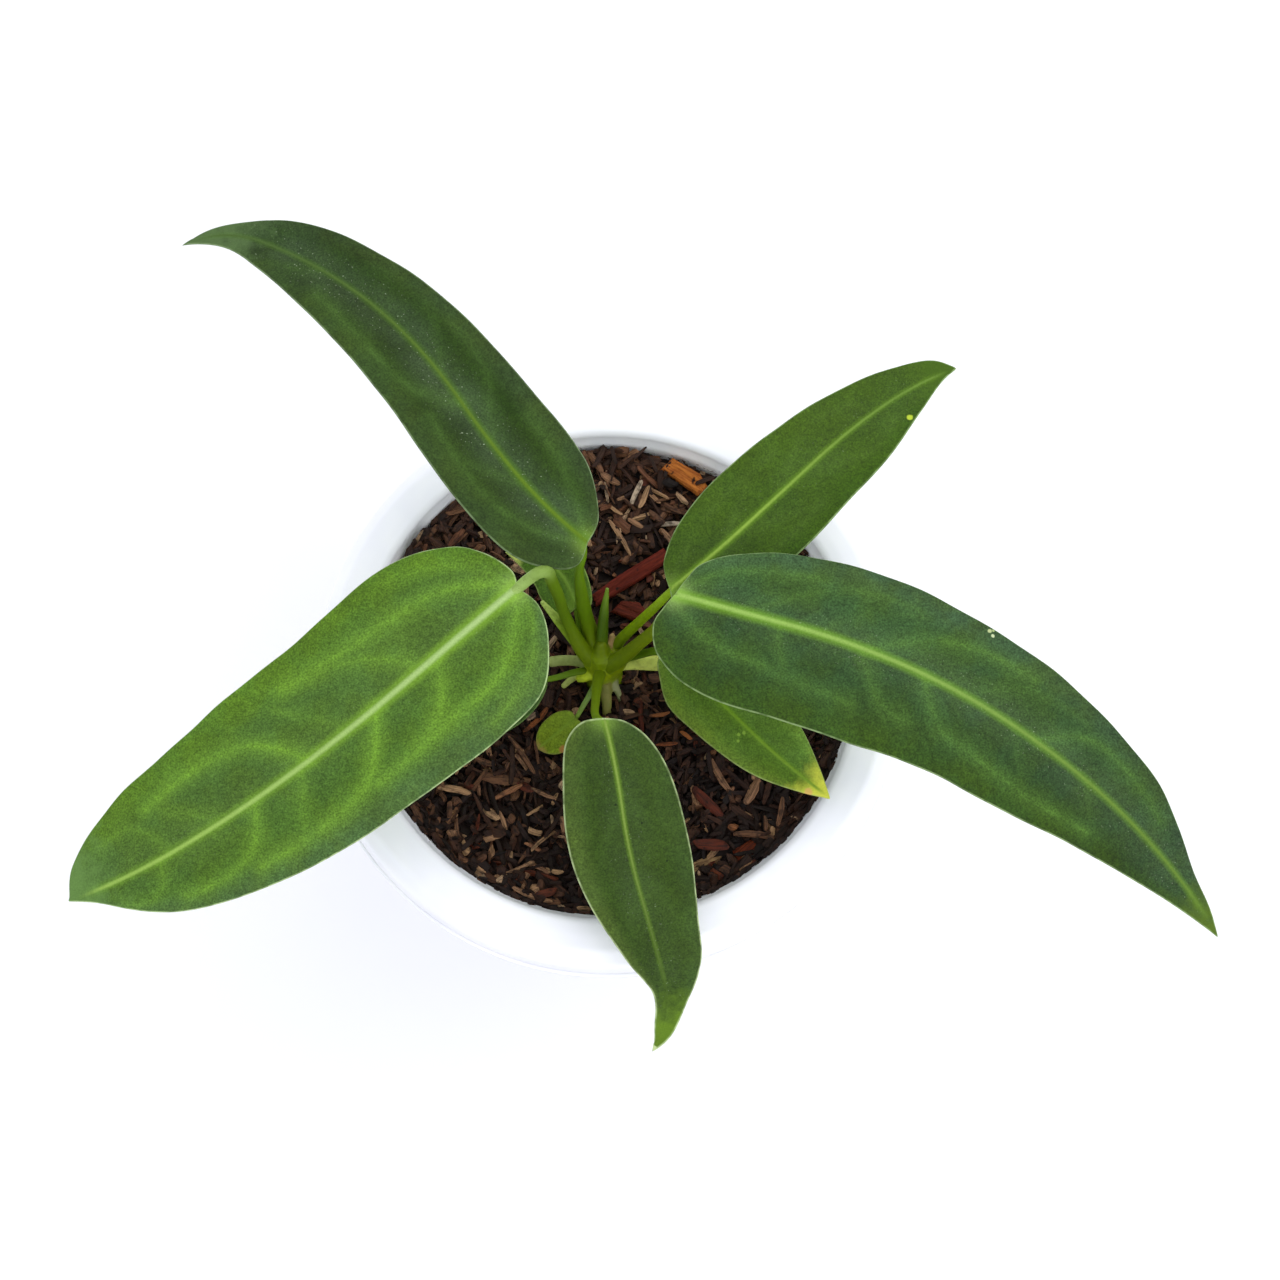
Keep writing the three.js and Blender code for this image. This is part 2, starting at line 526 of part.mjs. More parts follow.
// Larger chips of bark that lie in the top of the mix: middle, yaw and lean, then the outline
const BARK = {
  bark_chip_long: { color: RED_BARK, at: [5.9, 25.8, -7.2], yaw: 34, lean: 3, thick: 3,
    outline: [[-12.2, -1.6], [4, -2.1], [12.4, -1.6], [11.6, 1.9], [-3, 2.2], [-11.4, 1.6]] },
  bark_chip_broad: { color: RED_BARK, at: [5.2, 17.5, -7.6], yaw: -21, lean: -5, thick: 2.6,
    outline: [[-4.2, -2.4], [4.6, -2.8], [5.6, 0.4], [2, 2.6], [-2.6, 1.4]] },
  bark_chip_edge: { color: ORANGE_BARK, at: [19.9, 52.1, -6.2], yaw: -31, lean: 5, thick: 3.4,
    outline: [[-6.8, -2.2], [5.4, -3], [6.4, 0.4], [2.8, 2.3], [-5.8, 2.2]] },
  bark_chip_front: { color: RED_BARK, at: [34.2, -44, -8.4], yaw: 38, lean: -4, thick: 2.6,
    outline: [[-4, -2.4], [3.6, -2.2], [4.2, 1.8], [-2.8, 2.6]] },
  bark_chip_tan: { color: TAN_BARK, at: [22.8, -47.4, -8.8], yaw: 22, lean: 3, thick: 2.4,
    outline: [[-6.2, -0.6], [-2, -1.8], [3.6, -1.6], [6.4, 0.4], [1, 1.8], [-4, 1.4]] },
};

/** A bark chip; grow fattens it all over. */
function barkChip({ at, yaw, lean, thick, outline }, grow) {
  const shape = new THREE.Shape(outline.map(([x, y]) => new THREE.Vector2(x, y)));
  const chip = new THREE.ExtrudeGeometry(shape, { depth: thick, bevelEnabled: false });
  chip.translate(0, 0, -thick / 2);
  chip.computeBoundingBox();
  const size = chip.boundingBox.getSize(new THREE.Vector3());
  chip.scale(1 + 4 * grow / size.x, 1 + 4 * grow / size.y, 1 + 2 * grow / size.z);
  chip.rotateY(THREE.MathUtils.degToRad(lean));
  chip.rotateZ(THREE.MathUtils.degToRad(yaw));
  const place = aboveRim(...at);
  return solid(chip.translate(place.x, place.y, place.z));
}

const draw = seeded(7);
let mix = solid(mixBulk());
for (let i = 0; i < HUSK_COUNT; i++) {
  mix = mix.add(solid(sliver(draw)));
}
mix = mix.subtract(stemRoom);
for (const [name, chip] of Object.entries(BARK)) {
  mix = mix.subtract(barkChip(chip, SEAT));
  add(name, barkChip(chip, 0), chip.color, 0.9);
}
const [bulk] = mix.decompose().sort((p, q) => q.volume() - p.volume());
add("husk_mix", bulk, HUSK, 0.95);

export default plant;
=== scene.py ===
# A young queen anthurium in a white rolled-rim pot, seen from above on a pale floor.
# Lengths in this script are millimetres until a mesh is made; the frame is in metres, +Z up.
import math
import bpy
import numpy as np
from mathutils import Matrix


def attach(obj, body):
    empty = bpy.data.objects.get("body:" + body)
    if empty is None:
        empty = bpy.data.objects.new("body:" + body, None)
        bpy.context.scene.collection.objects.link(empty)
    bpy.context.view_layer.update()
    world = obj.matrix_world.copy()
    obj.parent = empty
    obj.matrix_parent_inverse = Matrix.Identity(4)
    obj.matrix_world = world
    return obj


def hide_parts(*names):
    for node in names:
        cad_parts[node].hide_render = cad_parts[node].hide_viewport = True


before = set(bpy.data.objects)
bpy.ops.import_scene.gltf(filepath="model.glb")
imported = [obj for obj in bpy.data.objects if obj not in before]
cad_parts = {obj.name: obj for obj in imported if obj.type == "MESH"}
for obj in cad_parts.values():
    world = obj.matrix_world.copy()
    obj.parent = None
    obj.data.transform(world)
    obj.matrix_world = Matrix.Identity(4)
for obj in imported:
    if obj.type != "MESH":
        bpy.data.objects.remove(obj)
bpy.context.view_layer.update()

# The camera and the studio. The camera looks down on the rim from the front at a steep angle,
# as one does at a bench. A wide soft light hangs behind on the right, a smaller one in front of it.
MM = 0.001
POT_HEIGHT = 115
FRAME_PIXELS = 1280
FOCAL_PIXELS = 2272
SENSOR_WIDTH = 36
LOOK_DOWN = math.radians(76)
CAMERA_DISTANCE = 560
PIXELS_RIGHT, PIXELS_UP = 32.5, 30.0  # how far the frame's middle lies from the rim's centre
# Each light's name, place and size in metres, power in watts and colour
LIGHTS = (("softbox_above", (0.6, 0.45, 1.3), 1.4, 6, "#fffdf9"),
          ("softbox_front", (0.9, -0.9, 0.7), 1.0, 4, "#fdf8ff"))
LIT_PLACE = (0, 0, 0.1)  # in metres, as the floor's reach
FLOOR_REACH = 3
ROOM_BRIGHTNESS = 1.16


def linear(colour):
    """An sRGB hex colour as linear red, green, blue and alpha: each channel above 0.04045 is
    ((c + 0.055) / 1.055) to the power 2.4, and a darker one is c / 12.92."""
    channels = [int(colour[i:i + 2], 16) / 255 for i in (1, 3, 5)]
    return [((c + 0.055) / 1.055) ** 2.4 if c > 0.04045 else c / 12.92 for c in channels] + [1.0]


def unit(vectors):
    """Vectors scaled to a length of one."""
    return vectors / np.linalg.norm(vectors, axis=-1, keepdims=True)


def new_object(name, data):
    """An object for a mesh, a light or a camera, linked into the scene."""
    made = bpy.data.objects.new(name, data)
    bpy.context.scene.collection.objects.link(made)
    return made


def feed(tree, socket, value):
    """Links an output to a socket, or sets the socket to a plain value or an sRGB hex colour."""
    if isinstance(value, bpy.types.NodeSocket):
        tree.links.new(value, socket)
    else:
        socket.default_value = linear(value) if isinstance(value, str) else value


def add_node(tree, kind, inputs=None, **settings):
    """One shader node with its settings, and its inputs given as values or as outputs to link."""
    made = tree.nodes.new("ShaderNode" + kind)
    for name, value in settings.items():
        setattr(made, name, value)
    for socket, value in (inputs or {}).items():
        feed(tree, made.inputs[socket], value)
    return made


def new_material(name):
    """An empty node material with its shader and output joined, and object coordinates."""
    material = bpy.data.materials.new(name)
    material.use_nodes = True
    tree = material.node_tree
    tree.nodes.clear()
    shader = add_node(tree, "BsdfPrincipled")
    add_node(tree, "OutputMaterial", {"Surface": shader.outputs[0]})
    place = add_node(tree, "TexCoord").outputs["Object"]
    return material, tree, shader, place


def finished(tree, shader, colour, roughness, gloss=0.5, bumps=()):
    """Gives the shader its colour, roughness and specular level, and bumps laid over each other,
    each of them a height, a strength and a depth in mm."""
    feed(tree, shader.inputs["Base Color"], colour)
    feed(tree, shader.inputs["Roughness"], roughness)
    feed(tree, shader.inputs["Specular IOR Level"], gloss)
    below = {}
    for height, strength, depth in bumps:
        bump = add_node(tree, "Bump", {"Height": height, "Strength": strength,
                        "Distance": depth * MM, **below})
        below = {"Normal": bump.outputs[0]}
        feed(tree, shader.inputs["Normal"], bump.outputs[0])


camera_data = bpy.data.cameras.new("view_from_above")
camera_data.sensor_width = SENSOR_WIDTH
camera_data.lens = SENSOR_WIDTH * FOCAL_PIXELS / FRAME_PIXELS
camera_data.clip_start = 0.01
camera = new_object("view_from_above", camera_data)
forward = np.array([0, math.cos(LOOK_DOWN), -math.sin(LOOK_DOWN)])
upward = np.array([0, math.sin(LOOK_DOWN), math.cos(LOOK_DOWN)])
per_pixel = CAMERA_DISTANCE / FOCAL_PIXELS
eye = (np.array([0, 0, POT_HEIGHT]) + PIXELS_RIGHT * per_pixel * np.array([1, 0, 0])
       + PIXELS_UP * per_pixel * upward - CAMERA_DISTANCE * forward)
camera.location = eye * MM
camera.rotation_euler = (math.pi / 2 - LOOK_DOWN, 0, 0)
bpy.context.scene.camera = camera
bpy.context.scene.view_settings.view_transform = "Standard"

for name, place, size, power, colour in LIGHTS:
    light_data = bpy.data.lights.new(name, "AREA")
    light_data.size = size
    light_data.energy = power
    light_data.color = linear(colour)[:3]
    light = new_object(name, light_data)
    light.location = place
    aim = unit(np.array(LIT_PLACE) - np.array(place))
    light.rotation_euler = (math.acos(-aim[2]), 0, math.atan2(aim[1], aim[0]) - math.pi / 2)

world = bpy.data.worlds.new("bright_room")
world.use_nodes = True
background = world.node_tree.nodes["Background"]
background.inputs["Color"].default_value = linear("#f6f8ff")
background.inputs["Strength"].default_value = ROOM_BRIGHTNESS
bpy.context.scene.world = world

floor_mesh = bpy.data.meshes.new("pale_floor")
floor_corners = [(x * FLOOR_REACH, y * FLOOR_REACH, 0) for x, y in ((-1, -1), (1, -1), (1, 1), (-1, 1))]
floor_mesh.from_pydata(floor_corners, [], [(0, 1, 2, 3)])
floor = new_object("pale_floor", floor_mesh)
paper, tree, shader, place = new_material("matte_paper")
finished(tree, shader, "#f1f1f2", 0.9)
floor_mesh.materials.append(paper)

# The pot. One thin moulding of white polypropylene: a flared wall, a wide rim rolled outwards
# that ends in a small bead, a lifted floor with a ring of drain holes, and a ledge inside the rim.
RIM_RADIUS = 74
MOUTH_RADIUS = 61
RIM_DEPTH = 14.5
BASE_RADIUS = 52
FOOT_RING = 6
PAD_RADIUS = 20
WALL = 2
FLOOR_LIFT = 3
DRAIN_HOLES = 8
DRAIN_DIAMETER = 7
DRAIN_CIRCLE = 33
DRILL_REACH = 6
DRILL_CORNERS = 24
POT_TURNS = 192
MIX_FIRST, MIX_SECOND, MIX_RESULT = 6, 7, 2  # the colour sockets of the mix node


def even_turns(count):
    """Angles evenly round a circle."""
    return np.arange(count) / count * 2 * math.pi


def around(radius, turn, height):
    """Places about the upright axis: x = r cos, y = r sin, and their height."""
    x, y = radius * np.cos(turn), radius * np.sin(turn)
    return np.stack([x, y, height + 0 * x], -1)


def closed_tube(rows, ring):
    """Faces of a closed tube: a pole, then rows of ring corners each, then a pole.
    Squares join each row to the next, and a fan of triangles joins each end row to its pole."""
    i, j = np.meshgrid(np.arange(rows - 1), np.arange(ring), indexing="ij")
    a = 1 + i * ring + j
    b = 1 + i * ring + (j + 1) % ring
    squares = np.stack([a, b, b + ring, a + ring], -1).reshape(-1, 4)
    k = np.arange(ring)
    after = (k + 1) % ring
    start = np.stack([np.zeros_like(k), 1 + after, 1 + k], -1)
    last = 1 + (rows - 1) * ring
    end = np.stack([np.full_like(k, last + ring), last + k, last + after], -1)
    return squares, np.concatenate([start, end])


def add_piece(name, points, squares, triangles, smooth=True):
    """A mesh object from corners in mm. If its faces enclose less than nothing, they point in,
    so their corners are put in the other order."""
    points = np.asarray(points, float)
    fans = np.concatenate([triangles, squares[:, :3], squares[:, [0, 2, 3]]])
    a, b, c = (points[fans[:, k]] for k in range(3))
    if (a * np.cross(b, c)).sum() < 0:
        squares, triangles = squares[:, ::-1], triangles[:, ::-1]
    mesh = bpy.data.meshes.new(name)
    mesh.from_pydata((points * MM).tolist(), [], triangles.tolist() + squares.tolist())
    mesh.polygons.foreach_set("use_smooth", [smooth] * len(mesh.polygons))
    return new_object(name, mesh)


def settle(piece):
    """Gives the piece the mesh that its modifiers make, and takes them off."""
    made = piece.evaluated_get(bpy.context.evaluated_depsgraph_get())
    mesh = bpy.data.meshes.new_from_object(made)
    piece.modifiers.clear()
    piece.data = mesh


def put(piece, material, slot, *nodes):
    """The piece gets its material, rides on the plant's one body and stands for its nodes."""
    piece.data.materials.clear()
    piece.data.materials.append(material)
    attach(piece, "root")
    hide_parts(*nodes)


def rounded(profile, radius, steps=5):
    """A profile with its corners rounded: each corner gives way to a curve whose point at
    fraction t is (1 - t)^2 start + 2 t (1 - t) corner + t^2 end, start and end lying on its
    two sides, radius away from it or at most 0.45 of the side."""
    profile = np.asarray(profile, float)
    t = np.linspace(0, 1, steps)[:, None]
    out = [profile[:1]]
    for before, corner, after in zip(profile[:-2], profile[1:-1], profile[2:]):
        ends = []
        for other in (before, after):
            side = other - corner
            reach = np.linalg.norm(side)
            ends.append(corner + side / reach * min(radius, 0.45 * reach))
        out.append((1 - t) ** 2 * ends[0] + 2 * t * (1 - t) * corner + t ** 2 * ends[1])
    return np.concatenate(out + [profile[-1:]])


def lathed(name, profile, turns):
    """A profile of [radius, height] turned about the upright axis: x = r cos, y = r sin."""
    rings = around(profile[1:-1, :1], even_turns(turns), profile[1:-1, 1:]).reshape(-1, 3)
    poles = np.array([[0, 0, profile[0, 1]], [0, 0, profile[-1, 1]]])
    return add_piece(name, np.concatenate([poles[:1], rings, poles[1:]]),
                     *closed_tube(len(profile) - 2, turns))


def inside_radius(height):
    """Radius of the pot's inside at a height above the rim."""
    fraction = (POT_HEIGHT + height - FLOOR_LIFT) / (POT_HEIGHT - FLOOR_LIFT)
    return BASE_RADIUS - WALL + fraction * (MOUTH_RADIUS - 0.8 - BASE_RADIUS + WALL)


def pot_profile():
    """The pot's section: up the outside from the pad, over the rim, and down the inside."""
    top, rim, mouth, foot = POT_HEIGHT, RIM_RADIUS, MOUTH_RADIUS, BASE_RADIUS - WALL
    ring, neck, pad = BASE_RADIUS - FOOT_RING, MOUTH_RADIUS + WALL, PAD_RADIUS
    outside = [[0, 0], [pad, 0], [pad + 2, FLOOR_LIFT], [ring - 2, FLOOR_LIFT], [ring, 0],
               [BASE_RADIUS, 0], [neck, top - RIM_DEPTH - 2], [neck + 0.3, top - 4.4],
               [neck + 4, top - 2], [rim - 3.2, top - 3.4], [rim - 2.2, top - RIM_DEPTH]]
    bead = [[rim, top - RIM_DEPTH], [rim, top - RIM_DEPTH + 1.9], [rim - 1.5, top - RIM_DEPTH + 2.4],
            [rim - 0.7, top - RIM_DEPTH + 3]]
    crown = [[rim - 0.7, top - 8.4], [rim - 1.9, top - 3.6], [rim - 5, top - 0.7],
             [rim - 9, top], [mouth + 1.2, top], [mouth, top - 1.2], [mouth, top - 3.2]]
    inside = [[mouth - 0.9, top - 3.6], [inside_radius(-4.4), top - 4.4],
              [foot, WALL + 0.5], [foot - 1, WALL], [ring + 0.8, WALL],
              [ring - 1.2, FLOOR_LIFT + WALL], [pad + 1.2, FLOOR_LIFT + WALL],
              [pad - 0.8, WALL], [0, WALL]]
    outside = rounded(outside, 1.2)[:-1]
    crown = rounded(crown, 0.9, 7)[1:-1]
    return np.concatenate([outside, rounded(bead, 0.6), crown, rounded(inside, 0.5, 3)])


def drilled(piece, circle, count, diameter, low, high):
    """Cuts a ring of round holes through a piece."""
    up = np.array([0, 0, high - low])
    for way in even_turns(count):
        middle = around(circle, way, low)
        rim = middle + around(diameter / 2, even_turns(DRILL_CORNERS), 0)
        points = np.concatenate([[middle], rim, rim + up, [middle + up]])
        drill = add_piece("drill", points, *closed_tube(2, DRILL_CORNERS))
        cut = piece.modifiers.new("drain_hole", "BOOLEAN")
        cut.operation = "DIFFERENCE"
        cut.solver = "EXACT"
        cut.object = drill
        settle(piece)
        bpy.data.objects.remove(drill)


def share_of(tree, shares):
    """The product of some shares. Each is a number, an output, or a tuple of a value, its two
    bounds and what it is turned to there, smoothly: 0 and 1 if nothing is said."""
    product = None
    for share in shares:
        if isinstance(share, tuple):
            value, low, high, *ends = share
            to_low, to_high = ends or (0, 1)
            share = add_node(tree, "MapRange", {"Value": value, "From Min": low, "From Max": high,
                             "To Min": to_low, "To Max": to_high},
                             interpolation_type="SMOOTHSTEP").outputs[0]
        if product is not None:
            share = add_node(tree, "Math", {0: product, 1: share}, operation="MULTIPLY").outputs[0]
        product = share
    return product


def patchy(tree, place, size, low, high, to_low=0.0, to_high=1.0, detail=2, roughness=0.5):
    """Smooth-edged patches about size mm across: cloudy noise, turned to to_low where it is no
    more than low and to to_high where it is at least high."""
    cloud = add_node(tree, "TexNoise", {"Vector": place, "Scale": 1 / (size * MM),
                     "Detail": detail, "Roughness": roughness})
    return share_of(tree, [(cloud.outputs[0], low, high, to_low, to_high)])


def laid(tree, base, colour, *shares, blend="MIX"):
    """A colour laid over a base as far as the product of its shares says."""
    return add_node(tree, "Mix", {"Factor": share_of(tree, shares), MIX_FIRST: base,
                    MIX_SECOND: colour}, data_type="RGBA", blend_type=blend).outputs[MIX_RESULT]


def polypropylene():
    """Moulded white polypropylene: bright and faintly blue, with a soft gloss and the slight
    ripple of a moulding. Specks of dust lie inside its wall, where the radius is no more than 0.4
    to 1.2 mm over that of the inside at the same height, and end 8 to 4 mm below the rim."""
    material, tree, shader, place = new_material("white_polypropylene")
    height = add_node(tree, "SeparateXYZ", {"Vector": place}).outputs["Z"]
    across = add_node(tree, "VectorMath", {0: place, 1: (1, 1, 0)}, operation="MULTIPLY")
    radius = add_node(tree, "VectorMath", {0: across.outputs[0]}, operation="LENGTH")
    inside = add_node(tree, "MapRange", {"Value": height, "From Min": FLOOR_LIFT * MM,
                      "From Max": POT_HEIGHT * MM, "To Max": inside_radius(0) * MM,
                      "To Min": inside_radius(FLOOR_LIFT - POT_HEIGHT) * MM})
    beyond = add_node(tree, "Math", {0: radius.outputs["Value"], 1: inside.outputs[0]},
                      operation="SUBTRACT")
    low_down = (height, (POT_HEIGHT - 8) * MM, (POT_HEIGHT - 4) * MM, 1, 0.04)
    within = (beyond.outputs[0], 0.4 * MM, 1.2 * MM, 1, 0)
    base = laid(tree, "#f8f9fc", "#f3f4fa", patchy(tree, place, 16, 0.35, 0.65))
    base = laid(tree, base, "#6d5746", low_down, within,
                patchy(tree, place, 1.1, 0.56, 0.66, detail=3))
    ripple = add_node(tree, "TexNoise", {"Vector": place, "Scale": 1 / (3 * MM)})
    finished(tree, shader, base, 0.3, bumps=[(ripple.outputs[0], 0.25, 0.03)])
    shader.inputs["IOR"].default_value = 1.49
    return material


pot = lathed("pot_moulding", pot_profile(), POT_TURNS)
drilled(pot, DRAIN_CIRCLE, DRAIN_HOLES, DRAIN_DIAMETER, FLOOR_LIFT - DRILL_REACH,
        FLOOR_LIFT + DRILL_REACH)
put(pot, polypropylene(), "white_plastic", "pot")

# The mix. Chopped coconut husk and bark, filled to just below the rim: a dark crumbly bed, and
# slivers and boat-shaped bits of husk lying on it in all directions, black to pale tan.
MIX_LEVEL = -9
MIX_MOUND = 1.2
MIX_ROUGHNESS = 0.9
BACK_HEAP = 2
LEFT_HEAP = 4.5
SEAT = 0.3
WALL_HEAP = 3.6
BED_DEPTH = 1.6
BED_TURNS = 160
BED_TINT = 0.12
SLIVER_COUNT = 3400
LAYER_SHARES = (0.4, 0.36, 0.24)
LAYER_STEP = 0.85
WALL_SHARE = 0.2
KIND_SHARES = (0.34, 0.38, 0.28)  # crumbs, short bits and long splinters
LENGTHS = np.array([(1.4, 3), (3, 6.5), (6, 11.5)])
WIDTHS = np.array([(0.9, 2.4), (1, 3), (0.8, 2)])
LEDGE_CRUMBS = 520
CHOSEN_LEAN = 0.06
CHOSEN_ENDS = 4.5
SLIVER_CORNERS = 5


def mix_height(x, y):
    """Height of the mix above the rim: a low dome, two crossing waves, a heap that rises with the
    square of the way to the far wall, one of 4.5 exp(-d^2 / 300) at distance d from (-48, 30), and
    husk pushed up against the wall with the tenth power of the radius, by 3.6 mm at the near
    side and 0.3 mm at the far side."""
    dome = 1 - (x * x + y * y) / MOUTH_RADIUS ** 2
    rough = np.sin(0.55 * x + 1.3) * np.cos(0.5 * y) + 0.6 * np.sin(0.9 * y - 0.4 * x)
    back = BACK_HEAP * np.clip((y - 28) / 30, 0, 1) ** 2
    left = LEFT_HEAP * np.exp(-((x + 48) ** 2 + (y - 30) ** 2) / 300)
    out = np.clip(np.hypot(x, y) / inside_radius(MIX_LEVEL), 0, 1)
    wall = np.interp(y, [-20, 55], [WALL_HEAP, 0.3]) * out ** 10
    return MIX_LEVEL + MIX_MOUND * dome + 0.6 * MIX_ROUGHNESS * rough + back + left + wall


def mix_bed():
    """The bed: rings across the top, which lies 1.6 mm under mix_height and is crumbled by fine
    crossing waves, then down the wall and back over the pot's floor."""
    turn = even_turns(BED_TURNS)
    edge = inside_radius(MIX_LEVEL) - 1.2 * SEAT
    part = np.linspace(0.01, 1, 54)[:, None]
    x, y = part * edge * np.cos(turn), part * edge * np.sin(turn)
    crumbs = np.sin(2.1 * x + 0.7 * y) * np.sin(1.7 * y - 0.9 * x) + np.sin(3.3 * x) * np.sin(2.9 * y)
    top = POT_HEIGHT + mix_height(x, y) - BED_DEPTH + 0.5 * crumbs
    low, foot, ring = WALL + SEAT, BASE_RADIUS - WALL, BASE_RADIUS - FOOT_RING
    sides = np.array([[foot - 0.5, FLOOR_LIFT + 1.7], [foot - 1.4, low], [ring + 1, low],
                      [ring - 1, low + FLOOR_LIFT], [PAD_RADIUS + 1, low + FLOOR_LIFT],
                      [PAD_RADIUS - 1, low]])
    rings = np.concatenate([np.stack([x, y, top], -1), around(sides[:, :1], turn, sides[:, 1:])])
    points = np.concatenate([[[0, 0, top[0].mean()]], rings.reshape(-1, 3), [[0, 0, low]]])
    return add_piece("husk_bed", points, *closed_tube(len(rings), BED_TURNS))


def paint(piece, label, values):
    """Gives the piece's corners a number, a vector or a linear colour each."""
    values = np.asarray(values, np.float32)
    width = values.shape[1] if values.ndim == 2 else 1
    kind, field = {1: ("FLOAT", "value"), 3: ("FLOAT_VECTOR", "vector"),
                   4: ("FLOAT_COLOR", "color")}[width]
    attribute_data = piece.data.attributes.new(label, kind, "POINT").data
    attribute_data.foreach_set(field, values.ravel())


def swung(x, y, angle):
    """A pair of coordinates turned by an angle: (x cos - y sin, x sin + y cos)."""
    return x * np.cos(angle) - y * np.sin(angle), x * np.sin(angle) + y * np.cos(angle)


def slivers(name, middle, size, turned, tint, ends, seed):
    """Splinters of husk in one mesh, each a prism of five corners: their turns are drawn once
    for the whole splinter, and their distances change by up to a seventh along it. At u, from -1
    to 1, it is scaled by (1 - |u|^ends)^0.5; its ends are cut slanting, it is twisted, cupped by
    the square of its width and bent by u squared; then it is rolled, leant and turned."""
    draw = np.random.default_rng(seed)
    count = len(middle)
    u = np.array([-0.98, -0.84, -0.3, 0.35, 0.86, 0.98])
    turn = even_turns(SLIVER_CORNERS) + draw.uniform(-0.4, 0.4, (count, 1, SLIVER_CORNERS))
    far = draw.uniform(0.6, 1.15, (count, 1, SLIVER_CORNERS))
    far = far * draw.uniform(0.86, 1.14, (count, len(u), SLIVER_CORNERS))
    taper = ((1 - np.abs(u)[None, :] ** ends[:, None]) ** 0.5)[..., None]
    length, width, thick = (size[:, k, None, None] / 2 for k in range(3))
    u_rows = u[None, :, None]
    twist = draw.uniform(-0.4, 0.4, (count, 1, 1)) * u_rows
    across = width * taper * far * np.cos(turn)
    rise = thick * taper * far * np.sin(turn)
    slant = draw.uniform(-0.9, 0.9, (count, 1, 1)) * across * np.abs(u_rows) ** 3
    cup = draw.uniform(-0.08, 0.2, (count, 1, 1)) / np.maximum(width, 0.4)
    bend = draw.uniform(-0.6, 0.8, (count, 2, 1, 1)) * (length / 4)[:, None] * u_rows ** 2
    x = length * u_rows + slant
    y, z = swung(across, rise, twist)
    y = y + 0.7 * bend[:, 0]
    z = z + cup * across ** 2 + 0.5 * bend[:, 1]
    body = np.stack([x, y, z], -1).reshape(count, -1, 3)
    tips = np.stack([body[:, :SLIVER_CORNERS].mean(1), body[:, -SLIVER_CORNERS:].mean(1)], 1)
    body = np.concatenate([tips[:, :1], body, tips[:, 1:]], 1)
    roll, lean, yaw = (turned[:, k, None] for k in range(3))
    x, y, z = body[..., 0], body[..., 1], body[..., 2]
    y, z = swung(y, z, roll)
    x, z = swung(x, z, lean)
    x, y = swung(x, y, yaw)
    points = np.stack([x, y, z], -1) + middle[:, None]
    squares, fans = closed_tube(len(u), SLIVER_CORNERS)
    each = body.shape[1]
    step = (np.arange(count) * each)[:, None, None]
    piece = add_piece(name, points.reshape(-1, 3), (squares + step).reshape(-1, 4),
                      (fans + step).reshape(-1, 3), smooth=False)
    along = np.concatenate([[-1], np.repeat(u, SLIVER_CORNERS), [1]]) * length[:, :, 0]
    corner = np.tile(np.arange(SLIVER_CORNERS) * 1.2, len(u))
    girth = np.concatenate([[0], corner, [0]]) * width[:, :, 0]
    grain = np.stack([along + 40 * tint[:, None], girth,
                      np.repeat(draw.uniform(0, 99, (count, 1)), each, 1)], -1)
    paint(piece, "tint", np.repeat(tint, each))
    paint(piece, "grain", grain.reshape(-1, 3))
    return piece


def fibrous(tree, scale, detail, roughness):
    """Noise drawn out along a splinter or flake, whose own coordinates in mm are scaled first."""
    grain = add_node(tree, "Attribute", attribute_name="grain").outputs["Vector"]
    place = add_node(tree, "Mapping", {"Vector": grain, "Scale": scale}).outputs[0]
    return add_node(tree, "TexNoise", {"Vector": place, "Scale": 1.0, "Detail": detail,
                    "Roughness": roughness}).outputs[0]


def husk():
    """Coconut husk and bark, chopped and damp: near black in the pile, brown to dry tan on top,
    with fibres along each splinter 0.3 mm apart and a faint damp gloss."""
    material, tree, shader, place = new_material("chopped_husk")
    fibres = fibrous(tree, (0.22, 3.3, 1), 3, 0.6)
    tint = add_node(tree, "Attribute", attribute_name="tint").outputs["Fac"]
    ramp = add_node(tree, "ValToRGB", {"Fac": tint})
    stops = ((0.0, "#0e0806"), (0.2, "#28170f"), (0.42, "#4a2e1f"), (0.6, "#755036"),
             (0.69, "#5c2413"), (0.76, "#9a5a2a"), (0.82, "#8c6448"), (0.92, "#b68e66"),
             (1.0, "#bfae98"))
    while len(ramp.color_ramp.elements) < len(stops):
        ramp.color_ramp.elements.new(0.5)
    for element, (position, colour) in zip(ramp.color_ramp.elements, stops):
        element.position = position
        element.color = linear(colour)
    base = laid(tree, ramp.outputs[0], "#1a100b", (fibres, 0.3, 0.62, 0.8, 0))
    base = laid(tree, base, "#120a07", patchy(tree, place, 2.2, 0.48, 0.68, 0, 0.65, 3, 0.6))
    finished(tree, shader, base, 0.62, 0.2, [(fibres, 0.7, 0.25)])
    return material


